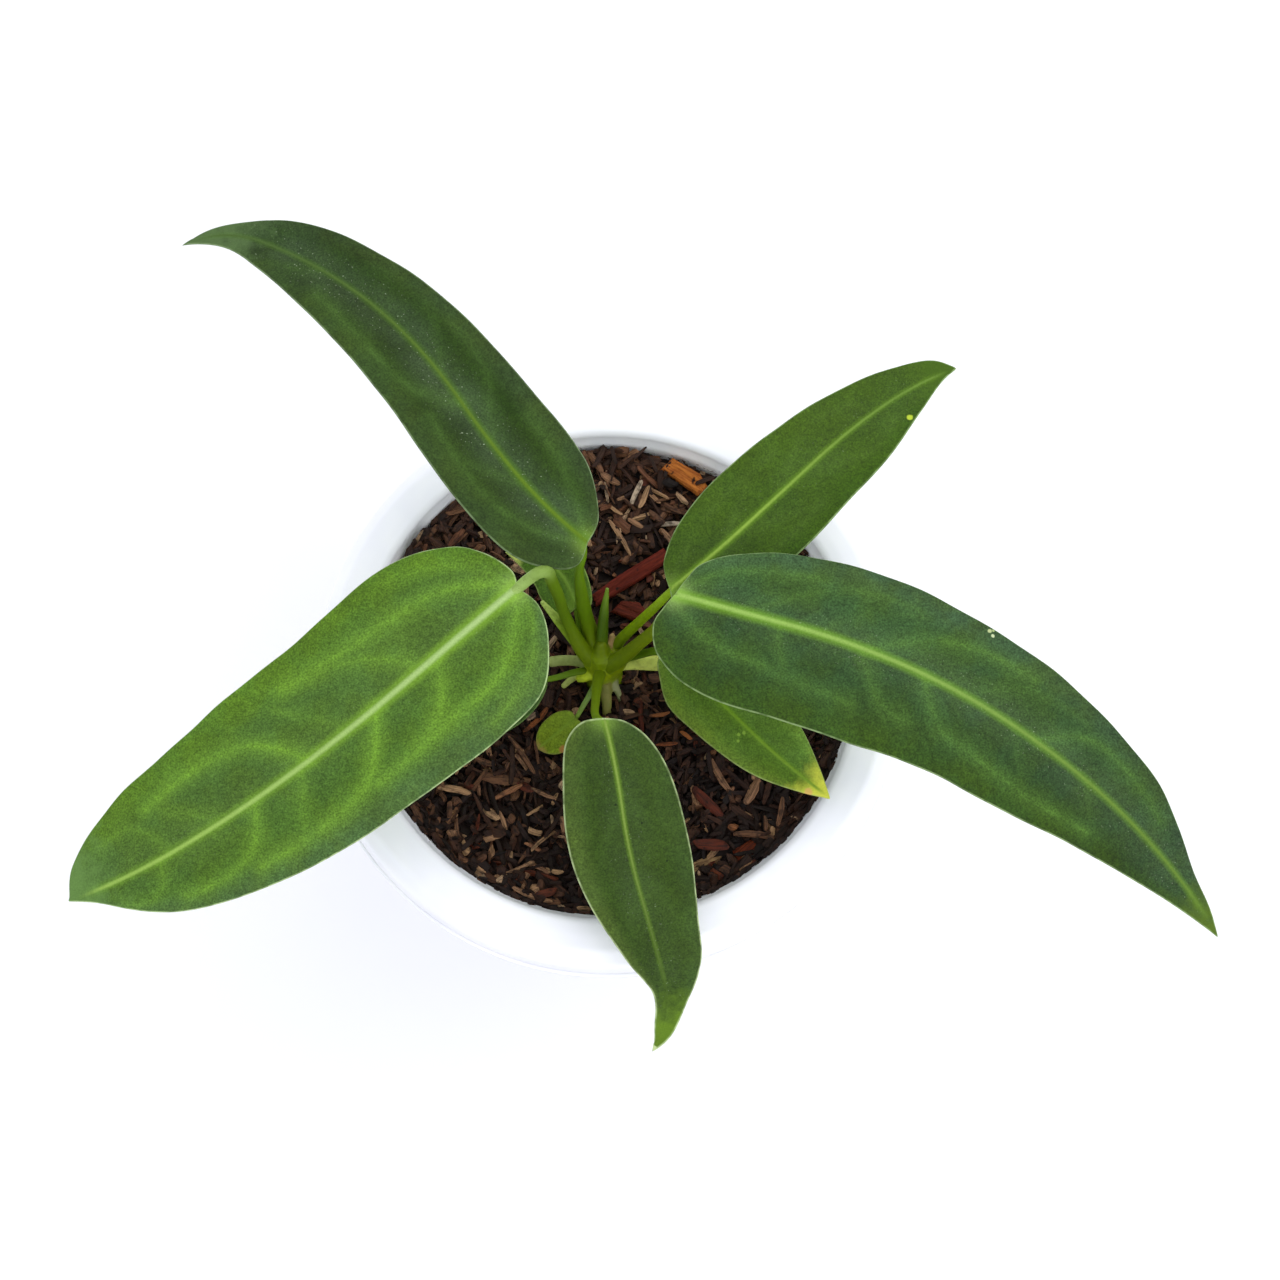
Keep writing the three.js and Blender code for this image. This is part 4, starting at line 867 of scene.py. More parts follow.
# The base and the stalk are places over the rim's centre; headings, pitches and rolls are in
# degrees along the midrib; outlines, veins and marks are places along and beside it. Panels are
# coloured left and right, ribs near and far, stalks low and high. A vein is its strength and its
# places, a mark its place, radius and colour, and tip_from a share of the length.
USUAL_LEAF = dict(roll=(0, 0), mottle=0.4, wrinkle_shading=0.5, painted_sheen=0, rib_until=0.9, margin_mm=0.42,
                  grain=0.26, far=1, marks=())
LEAVES = {
    "leaf_back_left": dict(
        base=(-4, 20.2, 42), length=131, roll=(4, 0), curl=0.004, wave=0.4,
        heading=(144.2, 131.4, 124.6, 134.5, 145.1, 153.4, 194.2), pitch=(14, 2, -24),
        left=[(-1.2, 5.6), (2.8, 10.4), (12, 14.5), (31, 14.6), (57, 14), (81, 11.8), (98, 8.3),
            (115, 4.2), (126, 1.3)],
        right=[(1.5, 6.1), (8.5, 12), (17, 15), (31, 15.3), (55, 13.6), (77, 11.5), (98, 9.3),
            (114, 4.1), (126, 1.4)],
        stalk=[(-1.6, 2.6, 1), (-4, 7.8, 6.4), (-5.4, 11, 17), (-6, 13.4, 26), (-6.2, 16, 34),
            (-5.2, 18.6, 39.5)],
        stalk_radii=[2.3, 2, 1.8, 1.75, 1.5, 1.1],
        slot="leaf_dark", panel=("#1f3007", "#213607"), outer=("#31451a", "#30421d"), tip="#4f673a",
        tip_from=0.86, vein="#587c34", glow="#86a83c", rib=("#587417", "#455d29"), fringe="#4c7018",
        mottle=0.55, wrinkle_shading=0.6, rib_width=(0.6, 0.3), margin="#7f9468",
        stalk_colours=("#567404", "#5a7e0a"), painted_sheen=0.2,
        veins=[(0.5, [(1, 0.5), (6, 3.5), (12, 6.5), (20, 8.5), (32, 9), (45, 8)]),
            (0.4, [(20, 0.5), (25, 3.5), (31, 7), (40, 9)]),
            (0.6, [(44, 0.5), (48, 4), (54, 7.6), (64, 8.4), (76, 7.6), (88, 6)]),
            (0.3, [(92, 1), (97, 3), (103, 4)]),
            (0.5, [(1, -0.5), (6, -4), (12, -7.6), (20, -10), (32, -11)]),
            (0.3, [(32, -0.5), (38, -4), (47, -9), (60, -10)]),
            (0.2, [(52, -0.5), (58, -4), (66, -8.5), (80, -8)])]),
    "leaf_left": dict(
        base=(-20, 9, 44), length=133, roll=(0, -4), curl=-0.004, wave=0.5,
        heading=(-139.4, -140.1, -145.8, -153.5, -166), pitch=(-4, -14, -28),
        left=[(-1, 6.4), (2.5, 14), (11, 21.9), (25, 23.4), (47, 22.3), (68, 20.9), (87, 18.1),
            (107, 12.7), (124, 3.4)],
        right=[(-1.6, 4.1), (0.8, 12), (6.4, 18.6), (20, 24.7), (45, 24.7), (74, 23.8), (103, 19.8),
            (119, 14.8), (130, 7.7)],
        stalk=[(-3, 2, 0), (-6.4, 4.4, 6), (-9.8, 8.8, 18), (-11.2, 10.6, 32), (-12.4, 11.4, 42),
            (-13, 11.6, 47.6), (-14.6, 11.2, 49.3), (-17, 10.3, 47.4)],
        stalk_radii=[2.6, 2, 1.55, 1.4, 1.4, 1.45, 1.5, 1.45],
        # The darker, bluer green of the left half's edge zone (the first outer colour) is painted
        # shade, where that half bends down away from the light.
        slot="leaf_bright", panel=("#446220", "#466325"), outer=("#45602f", "#4f701f"), tip="#5e803e",
        tip_from=0.93, vein="#74a030", glow="#a9cc6a", rib=("#a0bb77", "#8dae4e"), fringe="#84b22e",
        mottle=0.5, wrinkle_shading=0.3, grain=0.32, rib_width=(0.9, 0.5), margin="#b9cf92",
        stalk_colours=("#56720a", "#a3c06c", 0.66), painted_sheen=0.05,
        veins=[(1, [(0, 0.5), (4, 4.5), (9, 9), (15, 12.4), (22, 13.5), (32, 13.4), (42, 14)]),
            (0.5, [(0, 1), (2.5, 8), (7, 14), (14, 18), (24, 20)]),
            (0.9, [(25, 2), (28, 6.5), (33, 11), (41, 13.8), (52, 14)]),
            (1, [(43, 1), (47, 6), (52, 11), (58, 13.5), (70, 14.4), (84, 13.8)]),
            (0.6, [(65, 1), (69, 8), (72, 13.5)]),
            (0.9, [(78, 1), (81, 6), (85, 10), (93, 11.4), (103, 10.6)]),
            (0.5, [(105, 1), (107, 5), (111, 8), (118, 6)]),
            (1, [(0, -0.5), (3, -3.5), (8, -7.6), (14, -11), (21, -12.8), (32, -14), (44, -15.6),
                (58, -17)]),
            (0.5, [(0, -1), (3, -7), (7, -12.5), (13, -17.5), (22, -21)]),
            (0.7, [(30, -3), (35, -8.5), (42, -13), (52, -16.4)]),
            (0.4, [(51, -2), (57, -9), (62, -14)]),
            (1, [(62, -0.5), (66, -6), (72, -11), (80, -13.4), (92, -13.8), (104, -12)]),
            (0.4, [(88, -1), (95, -7), (101, -11)]),
            (0.5, [(102, -1), (105, -6), (111, -10), (120, -9)])]),
    "leaf_back_right": dict(
        base=(15, 11.4, 33), length=89.5, curl=0.004, wave=0.5, heading=(36.1, 42, 43.7, 37.5, 26.1),
        pitch=(14, 2, -18),
        left=[(1.5, 4), (4, 6.9), (11.6, 10.8), (24, 13), (36.7, 12.7), (48, 11.4), (61.5, 9.6),
            (74.4, 6.9), (84, 4)],
        right=[(-1.5, 4.5), (1, 9), (7, 12), (18, 13.3), (31, 13.5), (45, 12.4), (59.6, 10.8),
            (73.7, 6.3), (84, 1.8)],
        stalk=[(0.6, 3.2, 0), (3, 5.9, 5.4), (8.2, 8.2, 17), (12.5, 9.8, 27)],
        stalk_radii=[1.8, 1.4, 1.25, 1.15],
        slot="leaf_mid", panel=("#38510c", "#37510e"), outer=("#3a5312", "#334e0c"), tip="#3e5a12",
        tip_from=0.9, vein="#5c7a34", glow="#8fb24a", rib=("#8eae44", "#607e2f"), fringe="#6c9424",
        # Its stalk colours are lighter than the stalk's own green: this is painted light that makes up
        # for the deep shade the leaves above cast on the stalk.
        rib_width=(0.5, 0.32), margin="#8aa468", stalk_colours=("#7d9a06", "#86a814"), painted_sheen=0.05,
        marks=[(70.5, -6, 0.8, "#b4c83a")],
        veins=[(0.3, [(1, 0.5), (6, 3.5), (14, 7), (26, 8.5), (40, 8)]),
            (0.25, [(18, 0.5), (24, 4), (32, 8)]), (0.25, [(36, 0.5), (42, 4), (50, 7), (62, 5)]),
            (0.3, [(1, -0.5), (6, -4.5), (14, -8), (26, -9), (40, -8.5)]),
            (0.25, [(24, -0.5), (30, -4.5), (38, -8)]),
            (0.25, [(44, -0.5), (50, -4), (58, -7), (68, -4)])]),
    "leaf_right": dict(
        base=(16, 7.4, 44), length=157, roll=(-4, 0), curl=-0.003, wave=0.5,
        heading=(-17.8, -15.6, -22.4, -31, -37.1, -44.6, -52.1), pitch=(6, -10, -34),
        left=[(1.5, 4.5), (4, 9), (12, 13.9), (27, 17.8), (52, 18.6), (76, 17.2), (99, 15.1),
            (119, 11.2), (136, 5.2), (149, 2)],
        right=[(-1.5, 4), (-2.4, 9), (1.5, 15.8), (13, 20.8), (40, 21.8), (63, 20.1), (91, 17.5),
            (114, 12.8), (135, 7), (149, 2.6)],
        stalk=[(0, 0.8, 1), (4.1, 1.6, 8), (8, 2.7, 17), (11.5, 3.6, 26), (14.4, 5.4, 37)],
        stalk_radii=[2.5, 1.9, 1.6, 1.5, 1.3],
        slot="leaf_blue_green", panel=("#334e24", "#2d461e"), outer=("#38502d", "#314a14"),
        tip="#4d641a", tip_from=0.93, vein="#5f8834", glow="#a2c565", rib=("#8eb054", "#5b782a"),
        fringe="#78a828", mottle=0.8, wrinkle_shading=1.0, grain=0.33, far=0.76, rib_width=(0.7, 0.38),
        margin="#93ab72", stalk_colours=("#647605", "#607c05"), painted_sheen=0.12,
        marks=[(68.6, 16.6, 0.5, "#b4c088"), (69.7, 15.9, 0.42, "#c3cfa0"),
            (69.3, 17.1, 0.3, "#a4b678")],
        veins=[(0.5, [(1, 0.5), (4, 4), (10, 8.6), (20, 11.6), (32, 13)]),
            (0.31, [(1, 1), (4, 7.5), (10, 12.5), (19, 15.6)]),
            (0.37, [(18, 1), (24, 5), (31, 9.5), (41, 13), (54, 13.6)]),
            (0.22, [(34, 1), (40, 5.5), (47, 10), (56, 13)]),
            (0.56, [(47, 1), (53, 5), (60, 9), (69, 11.4), (82, 12)]),
            (0.25, [(70, 1), (77, 6), (86, 10.6), (98, 10.5)]),
            (0.5, [(90, 1), (96, 6), (102, 8.6), (112, 8.2), (124, 5.5)]),
            (0.5, [(1, -1), (5, -5.5), (12, -9), (22, -10.6), (33, -12.2), (46, -13)]),
            (0.43, [(25, -0.5), (26, -5), (28.5, -10.5)]),
            (0.5, [(45, -1), (48, -5.5), (52.5, -10.4), (60, -11.6)]),
            (0.62, [(60, -1), (64, -6), (69, -10), (80, -11), (95, -11.6), (112, -9)]),
            (0.19, [(84, -1), (88, -6), (94, -11)]), (0.25, [(105, -1), (109, -5), (115, -8.5)])]),
    "leaf_front": dict(
        base=(-0.4, -17.8, 27), length=86, curl=-0.004, wave=0.4,
        heading=(-74.8, -81.9, -72.6, -74.5, -127.1), pitch=(-8, -22, -46),
        left=[(1.9, 4.5), (6.5, 8.8), (14, 12), (25, 13.9), (38, 13.9), (52, 11.5), (62.5, 9.8),
            (71, 4.7), (80, 2.2)],
        right=[(-0.4, 5.2), (2.5, 9.4), (8, 11.7), (20, 13.6), (32, 13.7), (44, 11.5), (57, 7.5),
            (67, 3.4), (78, 2.2)],
        stalk=[(-1.4, 0, 0), (-2.2, -4, 4.6), (-2.6, -10.6, 12.6), (-2.4, -16, 20.2)],
        stalk_radii=[1.9, 1.4, 1.15, 1],
        slot="leaf_dark", panel=("#304510", "#2d420e"), outer=("#364c1c", "#435721"), tip="#5c7a1e",
        rib_until=0.72, margin_mm=0.6, tip_from=0.84, vein="#4f6c30", glow="#8cb048",
        rib=("#809943", "#415720"), fringe="#6a8e24", mottle=0.25, rib_width=(0.36, 0.2),
        margin="#c2d49a", stalk_colours=("#688006", "#6f900c"), painted_sheen=0.08,
        marks=[(25.6, 4, 0.35, "#1c2a10"), (20.4, -1.4, 0.3, "#1c2a10"), (36, 8, 0.3, "#1c2a10"),
            (84.6, 0.2, 1, "#c8d89a")],
        veins=[(0.35, [(1, 0.5), (6, 4), (14, 7.6), (28, 9)]),
            (0.35, [(1, -0.5), (5, -5), (12, -8), (26, -9)]), (0.25, [(18, 0.5), (25, 5), (34, 9)]),
            (0.25, [(22, -0.5), (28, -4.5), (38, -8.5)]), (0.25, [(38, 0.5), (45, 5), (54, 7.5)]),
            (0.2, [(42, -0.5), (48, -4), (56, -5)])]),
    "leaf_front_right": dict(
        base=(14, 0.5, 17), length=53.5, curl=-0.004, wave=0.3,
        heading=(-40.1, -43.2, -43.2, -37.6, -34.4), pitch=(-4, -12, -20),
        left=[(0, 3), (2.5, 6), (9, 9), (20, 10.5), (30, 10.6), (38, 8.8), (46.5, 4.6)],
        right=[(0, 2.7), (2, 4.8), (9, 9.3), (18, 9.5), (28, 8.7), (37, 6.8), (47, 3)],
        stalk=[(1.4, 2.4, -1.4), (6.4, 2.8, 2.6), (9.8, 2.2, 9), (12.2, 1.2, 14.2)],
        stalk_radii=[1.1, 1, 1, 1],
        slot="leaf_yellowing", panel=("#506f26", "#4d6a1e"), outer=("#668632", "#5c7525"),
        tip="#c6ca46", tip_from=0.86, vein="#628434", glow="#7a9c3a", rib=("#6b931e", "#70902a"),
        fringe="#62881c", rib_width=(0.6, 0.4), margin="#93a460", stalk_colours=("#55760a", "#78a020"),
        marks=[(27, -1.4, 0.5, "#7d9e3a"), (26.4, -2.6, 0.45, "#7d9e3a"), (27.3, -3.8, 0.4, "#7d9e3a"),
            (48, -2, 1.1, "#cfa85c")],
        veins=[(0.5, [(20, 0.3), (25, 2.6), (32, 4)]), (0.4, [(9, 0.3), (15, 4), (24, 6.6)]),
            (0.5, [(1, -0.5), (6, -4), (14, -6), (24, -6)]),
            (0.4, [(16, -0.5), (22, -3.6), (30, -5.4)]), (0.4, [(32, 0.3), (37, 2.5), (42, 3)])]),
    "leaf_back_small": dict(
        base=(-7.6, 13.2, 9.4), length=24.5, curl=0.006, wave=0.2, heading=(105, 115, 145, 165, 172),
        pitch=(8, 2, -8),
        left=[(-1, 3), (1, 6), (6, 7.4), (11.5, 6.8), (17, 4.8), (21.5, 2)],
        right=[(-1, 2.6), (1, 4.4), (6, 5.4), (11.5, 6), (17, 4.8), (21.5, 2)],
        stalk=[(-2.4, 2.8, -4.4), (-5, 6.4, -1.6), (-6.6, 9.8, 4)],
        stalk_radii=[1.2, 1, 0.9],
        slot="leaf_mid", panel=("#46661c", "#46661c"), outer=("#4a6a20", "#4a6a20"), tip="#c3cf6a",
        tip_from=0.84, vein="#5c7c2c", glow="#7c9c34", rib=("#6c8c30", "#7c9c3c"), fringe="#6c8c30",
        wrinkle_shading=0.2, rib_width=(0.5, 0.3), margin="#93ac5a", stalk_colours=("#5c7c10", "#6f9018"),
        veins=[(0.5, [(0, 0.3), (4, 3.5), (10, 4.6)]), (0.5, [(0, -0.3), (4, -3), (10, -3.6)]),
            (0.4, [(8, 0.3), (12, 2.6), (16, 3)])]),
    "leaf_front_small": dict(
        base=(-7.8, -11.8, -1.4), length=12.2, curl=0.02, wave=0, heading=(-142, -142, -142),
        pitch=(-4, -14, -20),
        left=[(-0.4, 2.4), (1.6, 4.4), (5, 5.2), (8.6, 4.4), (11, 2.4)],
        right=[(-0.2, 2), (2, 3.8), (5.2, 4.4), (8.6, 3.8), (11, 2.2)],
        stalk=[(-1.8, -0.6, -4.4), (-4, -5, -2.2), (-5.8, -8.6, -0.8)],
        stalk_radii=[0.9, 0.8, 0.7],
        slot="leaf_olive", panel=("#6a7e1c", "#667a1a"), outer=("#72861e", "#6c801c"), tip="#8c7a3c",
        tip_from=0.88, vein="#6c8224", glow="#6f8a28", rib=("#6c8626", "#6c8626"), fringe="#6c8626",
        wrinkle_shading=0.2, rib_width=(0.3, 0.2), margin="#7d8440", stalk_colours=("#78944a", "#6a8620"),
        marks=[(7, 4.4, 1.2, "#a0703c")],
        veins=[(0.4, [(0, 0.3), (3, 2.6), (7, 3)]), (0.4, [(0, -0.3), (3, -2.4), (7, -2.6)])]),
    "leaf_low_left": dict(
        base=(-16.4, -2.6, 0.8), length=18, curl=0.01, wave=0, heading=(-127, -128, -136),
        pitch=(-6, -12, -18),
        left=[(-0.6, 1.6), (2, 2.9), (6.4, 3.4), (11.5, 2.6), (15.5, 1.2)],
        right=[(-0.6, 1.8), (2, 3.4), (6.4, 4), (11.5, 3.2), (15.5, 1.4)],
        stalk=[(-3, 0.9, -3), (-7.8, -0.4, -0.6), (-12, -2, 1)],
        stalk_radii=[1, 0.9, 0.8],
        slot="leaf_mid", panel=("#36501f", "#36501f"), outer=("#3a5522", "#3a5522"), tip="#4c6c2c",
        tip_from=0.9, vein="#4c6c2c", glow="#5c7c2c", rib=("#5a7a34", "#5a7a34"), fringe="#5a7a34",
        wrinkle_shading=0.2, rib_width=(0.35, 0.2), margin="#6f8a4c", stalk_colours=("#5c7c10", "#6f9018"),
        veins=[(0.4, [(0, 0.3), (4, 1.6), (9, 2)]), (0.4, [(0, -0.3), (4, -2), (9, -2.4)])]),
}


def flat_curve(points, t):
    """Places at fractions t of the curve through evenly timed flat points: each stretch is a
    cubic whose slope at a point is half the way between that point's two neighbours."""
    points = np.asarray(points, float)
    place = np.clip(t, 0, 1) * (len(points) - 1)
    low = np.minimum(place.astype(int), len(points) - 2)
    w = (place - low)[:, None]
    p0, p1 = points[np.maximum(low - 1, 0)], points[low]
    p2, p3 = points[low + 1], points[np.minimum(low + 2, len(points) - 1)]
    s1, s2 = (p2 - p0) / 2, (p3 - p1) / 2
    return (2 * (p1 - p2) + s1 + s2) * w ** 3 + (3 * (p2 - p1) - 2 * s1 - s2) * w ** 2 + s1 * w + p1


def heading_at(leaf, t):
    """Direction of the midrib at fraction t: (cos h cos p, sin h cos p, sin p)."""
    h, p = (np.radians(read_evenly(leaf[key], t)) for key in ("heading", "pitch"))
    return np.stack([np.cos(h) * np.cos(p), np.sin(h) * np.cos(p), np.sin(p)], -1)


def blade_place(leaf, a, b, v):
    """Middle surface of the blade at a along the midrib and b to its left, v of the way out to
    the edge: the midrib's place, plus b sideways, plus curl b^2 and the edge's wave, which grows
    with v^2, square to the blade. The wave is sin(0.17 a + c) + 0.5 sin(0.39 a + 2 c), where c
    is 0 to the left and 2 to the right. Behind the midrib's start it runs straight back."""
    steps = np.arange(BLADE_STEPS + 1)
    strides = heading_at(leaf, (steps[:-1] + 0.5) / BLADE_STEPS) * leaf["length"] / BLADE_STEPS
    rib = np.concatenate([np.zeros((1, 3)), np.cumsum(strides, axis=0)])
    rib = rib + leaf["base"] + [0, 0, POT_HEIGHT]
    t = np.clip(a / leaf["length"], 0, 1)
    on_rib = read_rows(t * BLADE_STEPS, steps, rib)
    ahead = heading_at(leaf, t)
    side = unit(np.cross([0, 0, 1.0], ahead))
    roll = np.radians(read_evenly(leaf["roll"], t))[..., None]
    side = side * np.cos(roll) + np.cross(ahead, side) * np.sin(roll)
    normal = np.cross(ahead, side)
    phase = np.where(b > 0, 0, 2)
    wave = np.sin(a * LONG_WAVE + phase) + 0.5 * np.sin(a * SHORT_WAVE + 2 * phase)
    lift = leaf["curl"] * b * b + leaf["wave"] * wave * v * v
    behind = np.minimum(a, 0)[..., None]
    return on_rib + ahead * behind + side * b[..., None] + normal * lift[..., None]


def distance_to(points, line):
    """Distance from each flat point to the nearest place on a line of short straight stretches."""
    start, stretch = line[:-1], np.diff(line, axis=0)
    size = np.maximum((stretch ** 2).sum(-1), 1e-9)
    nearest = []
    for some in np.array_split(points, max(1, len(points) // 2000)):
        share = np.clip(((some[:, None] - start) * stretch).sum(-1) / size, 0, 1)
        off = some[:, None] - start - share[..., None] * stretch
        nearest.append(np.sqrt((off ** 2).sum(-1)).min(1))
    return np.concatenate(nearest)


def leaf_rows(leaf, t):
    """For rows at fractions t of the outline: where each leaves the midrib, and its two edges.
    A row starts at half of m + (m^2 + f^2)^0.5, where m is the mean of its edges' places along
    the midrib and f = 9 t (1 - t) / (t + 0.05), so that the rows fan out at the base."""
    edges = {side: flat_curve([(0, 0)] + leaf[side] + [(leaf["length"], 0)], t)
             for side in ("left", "right")}
    mean = (edges["left"][:, 0] + edges["right"][:, 0]) / 2
    fan = 9 * t * (1 - t) / (t + 0.05)
    start = (mean + np.hypot(mean, fan)) / 2
    return start, edges


def blade(leaf):
    """The blade as a flat tube: each row goes over the top from edge to edge and back below.
    Half its thickness falls off in a quarter circle over the last 0.6 mm to the edge. The rib is
    a low round ridge above and a deeper one below; at distance d from a side vein of strength s
    the face is sunk by 0.2 s exp(-(d / 0.75)^2) + 0.15 s exp(-(d / 2.7)^2), so that it puffs up
    between them. Returned as a part, with what its corners are to be painted with."""
    length = leaf["length"]
    fine = np.linspace(0, 1, 400)
    _, edges = leaf_rows(leaf, fine)
    gone = sum(way_gone(edge) for edge in edges.values()) / 2
    outline = np.concatenate([edges["left"], (edges["right"] * [1, -1])[::-1]])
    rows = int(gone[-1] / ROW_MM)
    t = np.interp(np.linspace(0, gone[-1], rows + 2)[1:-1], gone, fine)
    half = int(max(np.abs(edge[:, 1]).max() for edge in edges.values()) / COLUMN_MM)
    s = np.linspace(-1, 1, 2 * half + 1)
    across = (s - 0.5 * np.sin(2 * math.pi * s) / (2 * math.pi))[None, :]
    start, edges = leaf_rows(leaf, t)
    left, right = edges["left"][:, None], edges["right"][:, None] * [1, -1]
    edge = np.where(across[..., None] > 0, left, right)
    a = start[:, None] + (edge[..., 0] - start[:, None]) * np.abs(across)
    b = edge[..., 1] * np.abs(across)
    far = np.abs(across) + 0 * a
    middle = blade_place(leaf, a, b, far)
    along = blade_place(leaf, a + 0.5, b, far) - middle
    aside = blade_place(leaf, a, b + 0.5, far) - middle
    normal = unit(np.cross(along, aside))
    flat = np.stack([a, b], -1).reshape(-1, 2)
    margin = distance_to(flat, outline).reshape(a.shape)
    margin[:, [0, -1]] = 0
    vein, halo = np.zeros(a.shape), np.zeros(a.shape)
    for strength, places in leaf["veins"]:
        line = flat_curve(places, np.linspace(0, 1, 40))
        off = distance_to(flat, line).reshape(a.shape)
        vein = np.maximum(vein, strength * np.exp(-(off / VEIN_WIDTH) ** 2))
        halo = np.maximum(halo, strength * np.exp(-(off / VEIN_HALO) ** 2))
    glow = np.exp(-(np.hypot(a, b) / GLOW_REACH) ** 2)
    left_over = 1 - np.clip(a / length, 0, 1)
    broad, narrow = leaf["rib_width"]
    rib_width = narrow + (broad - narrow) * left_over ** 1.2
    lip = np.sqrt(np.clip(1 - (1 - np.clip(margin / EDGE_ROUND, 0, 1)) ** 2, 0, 1))
    ridge = 0.35 * rib_width * np.exp(-(b / rib_width) ** 2) + 0.12 * (1 - np.exp(-(b / 3) ** 2))
    above = lip * (BLADE_THICKNESS / 2 + ridge - VEIN_DEPTH * vein - HALO_DEPTH * halo)
    below = lip * (BLADE_THICKNESS / 2 + MIDRIB_DEPTH * left_over * np.exp(-(b / KEEL_WIDTH) ** 2))
    over = middle + normal * above[..., None]
    under = (middle - normal * below[..., None])[:, -2:0:-1]
    ring = np.concatenate([over, under], 1)
    sinus, tip = (blade_place(leaf, np.array([x]), np.zeros(1), np.zeros(1)) for x in (0.0, length))
    points = np.concatenate([sinus, ring.reshape(-1, 3), tip])
    fields = {}
    for label, parts, first, last in (
            ("flat", (a, b, 0 * a), (0, 0, 0), (length, 0, 0)),
            ("edge", (margin, far, np.abs(b) / rib_width), (0, 0, 0), (0, 0, 0)),
            ("veins", (vein, halo, glow), (0, 0, 1), (0, 0, 0))):
        upper = np.stack(parts, -1)
        lower = upper[:, -2:0:-1].copy()
        if label == "flat":
            lower[..., 2] = 1
        both = np.concatenate([upper, lower], 1).reshape(-1, 3)
        fields[label] = np.concatenate([[first], both, [last]])
    return (points, *ring.shape[:2]), fields


def stalk(leaf):
    """The stalk: a rod through its listed points and on below the rib, with a shallow groove."""
    under = np.array([min(2, 0.03 * leaf["length"]), min(STALK_UNDER, 0.12 * leaf["length"])])
    sink = BLADE_THICKNESS / 2 + STALK_END + POT_HEIGHT
    ends = blade_place(leaf, under, np.zeros(2), np.zeros(2)) - [0, 0, sink]
    radii = leaf["stalk_radii"] + [0.9 * leaf["stalk_radii"][-1], STALK_END]
    groove = lambda turn: 1 - 0.1 * np.exp(-((turn - math.pi) / 0.5) ** 2)
    return rod(leaf["stalk"] + ends.tolist(), radii, STALK_ROWS, STALK_RING, groove)


def fraction_along(part):
    """For each corner of a rod, the fraction of the rod's length at which it lies."""
    _, rows, ring = part
    return np.concatenate([[0], np.repeat(np.linspace(0, 1, rows), ring), [1]])


def toned(tree, colour, value, low, high):
    """A colour scaled by low where the value is 0.3 or less, up to high where it is 0.7."""
    scale = add_node(tree, "MapRange", {"Value": value, "From Min": 0.3, "From Max": 0.7,
                     "To Min": low, "To Max": high}).outputs[0]
    return add_node(tree, "VectorMath", {0: colour, "Scale": scale}, operation="SCALE").outputs[0]


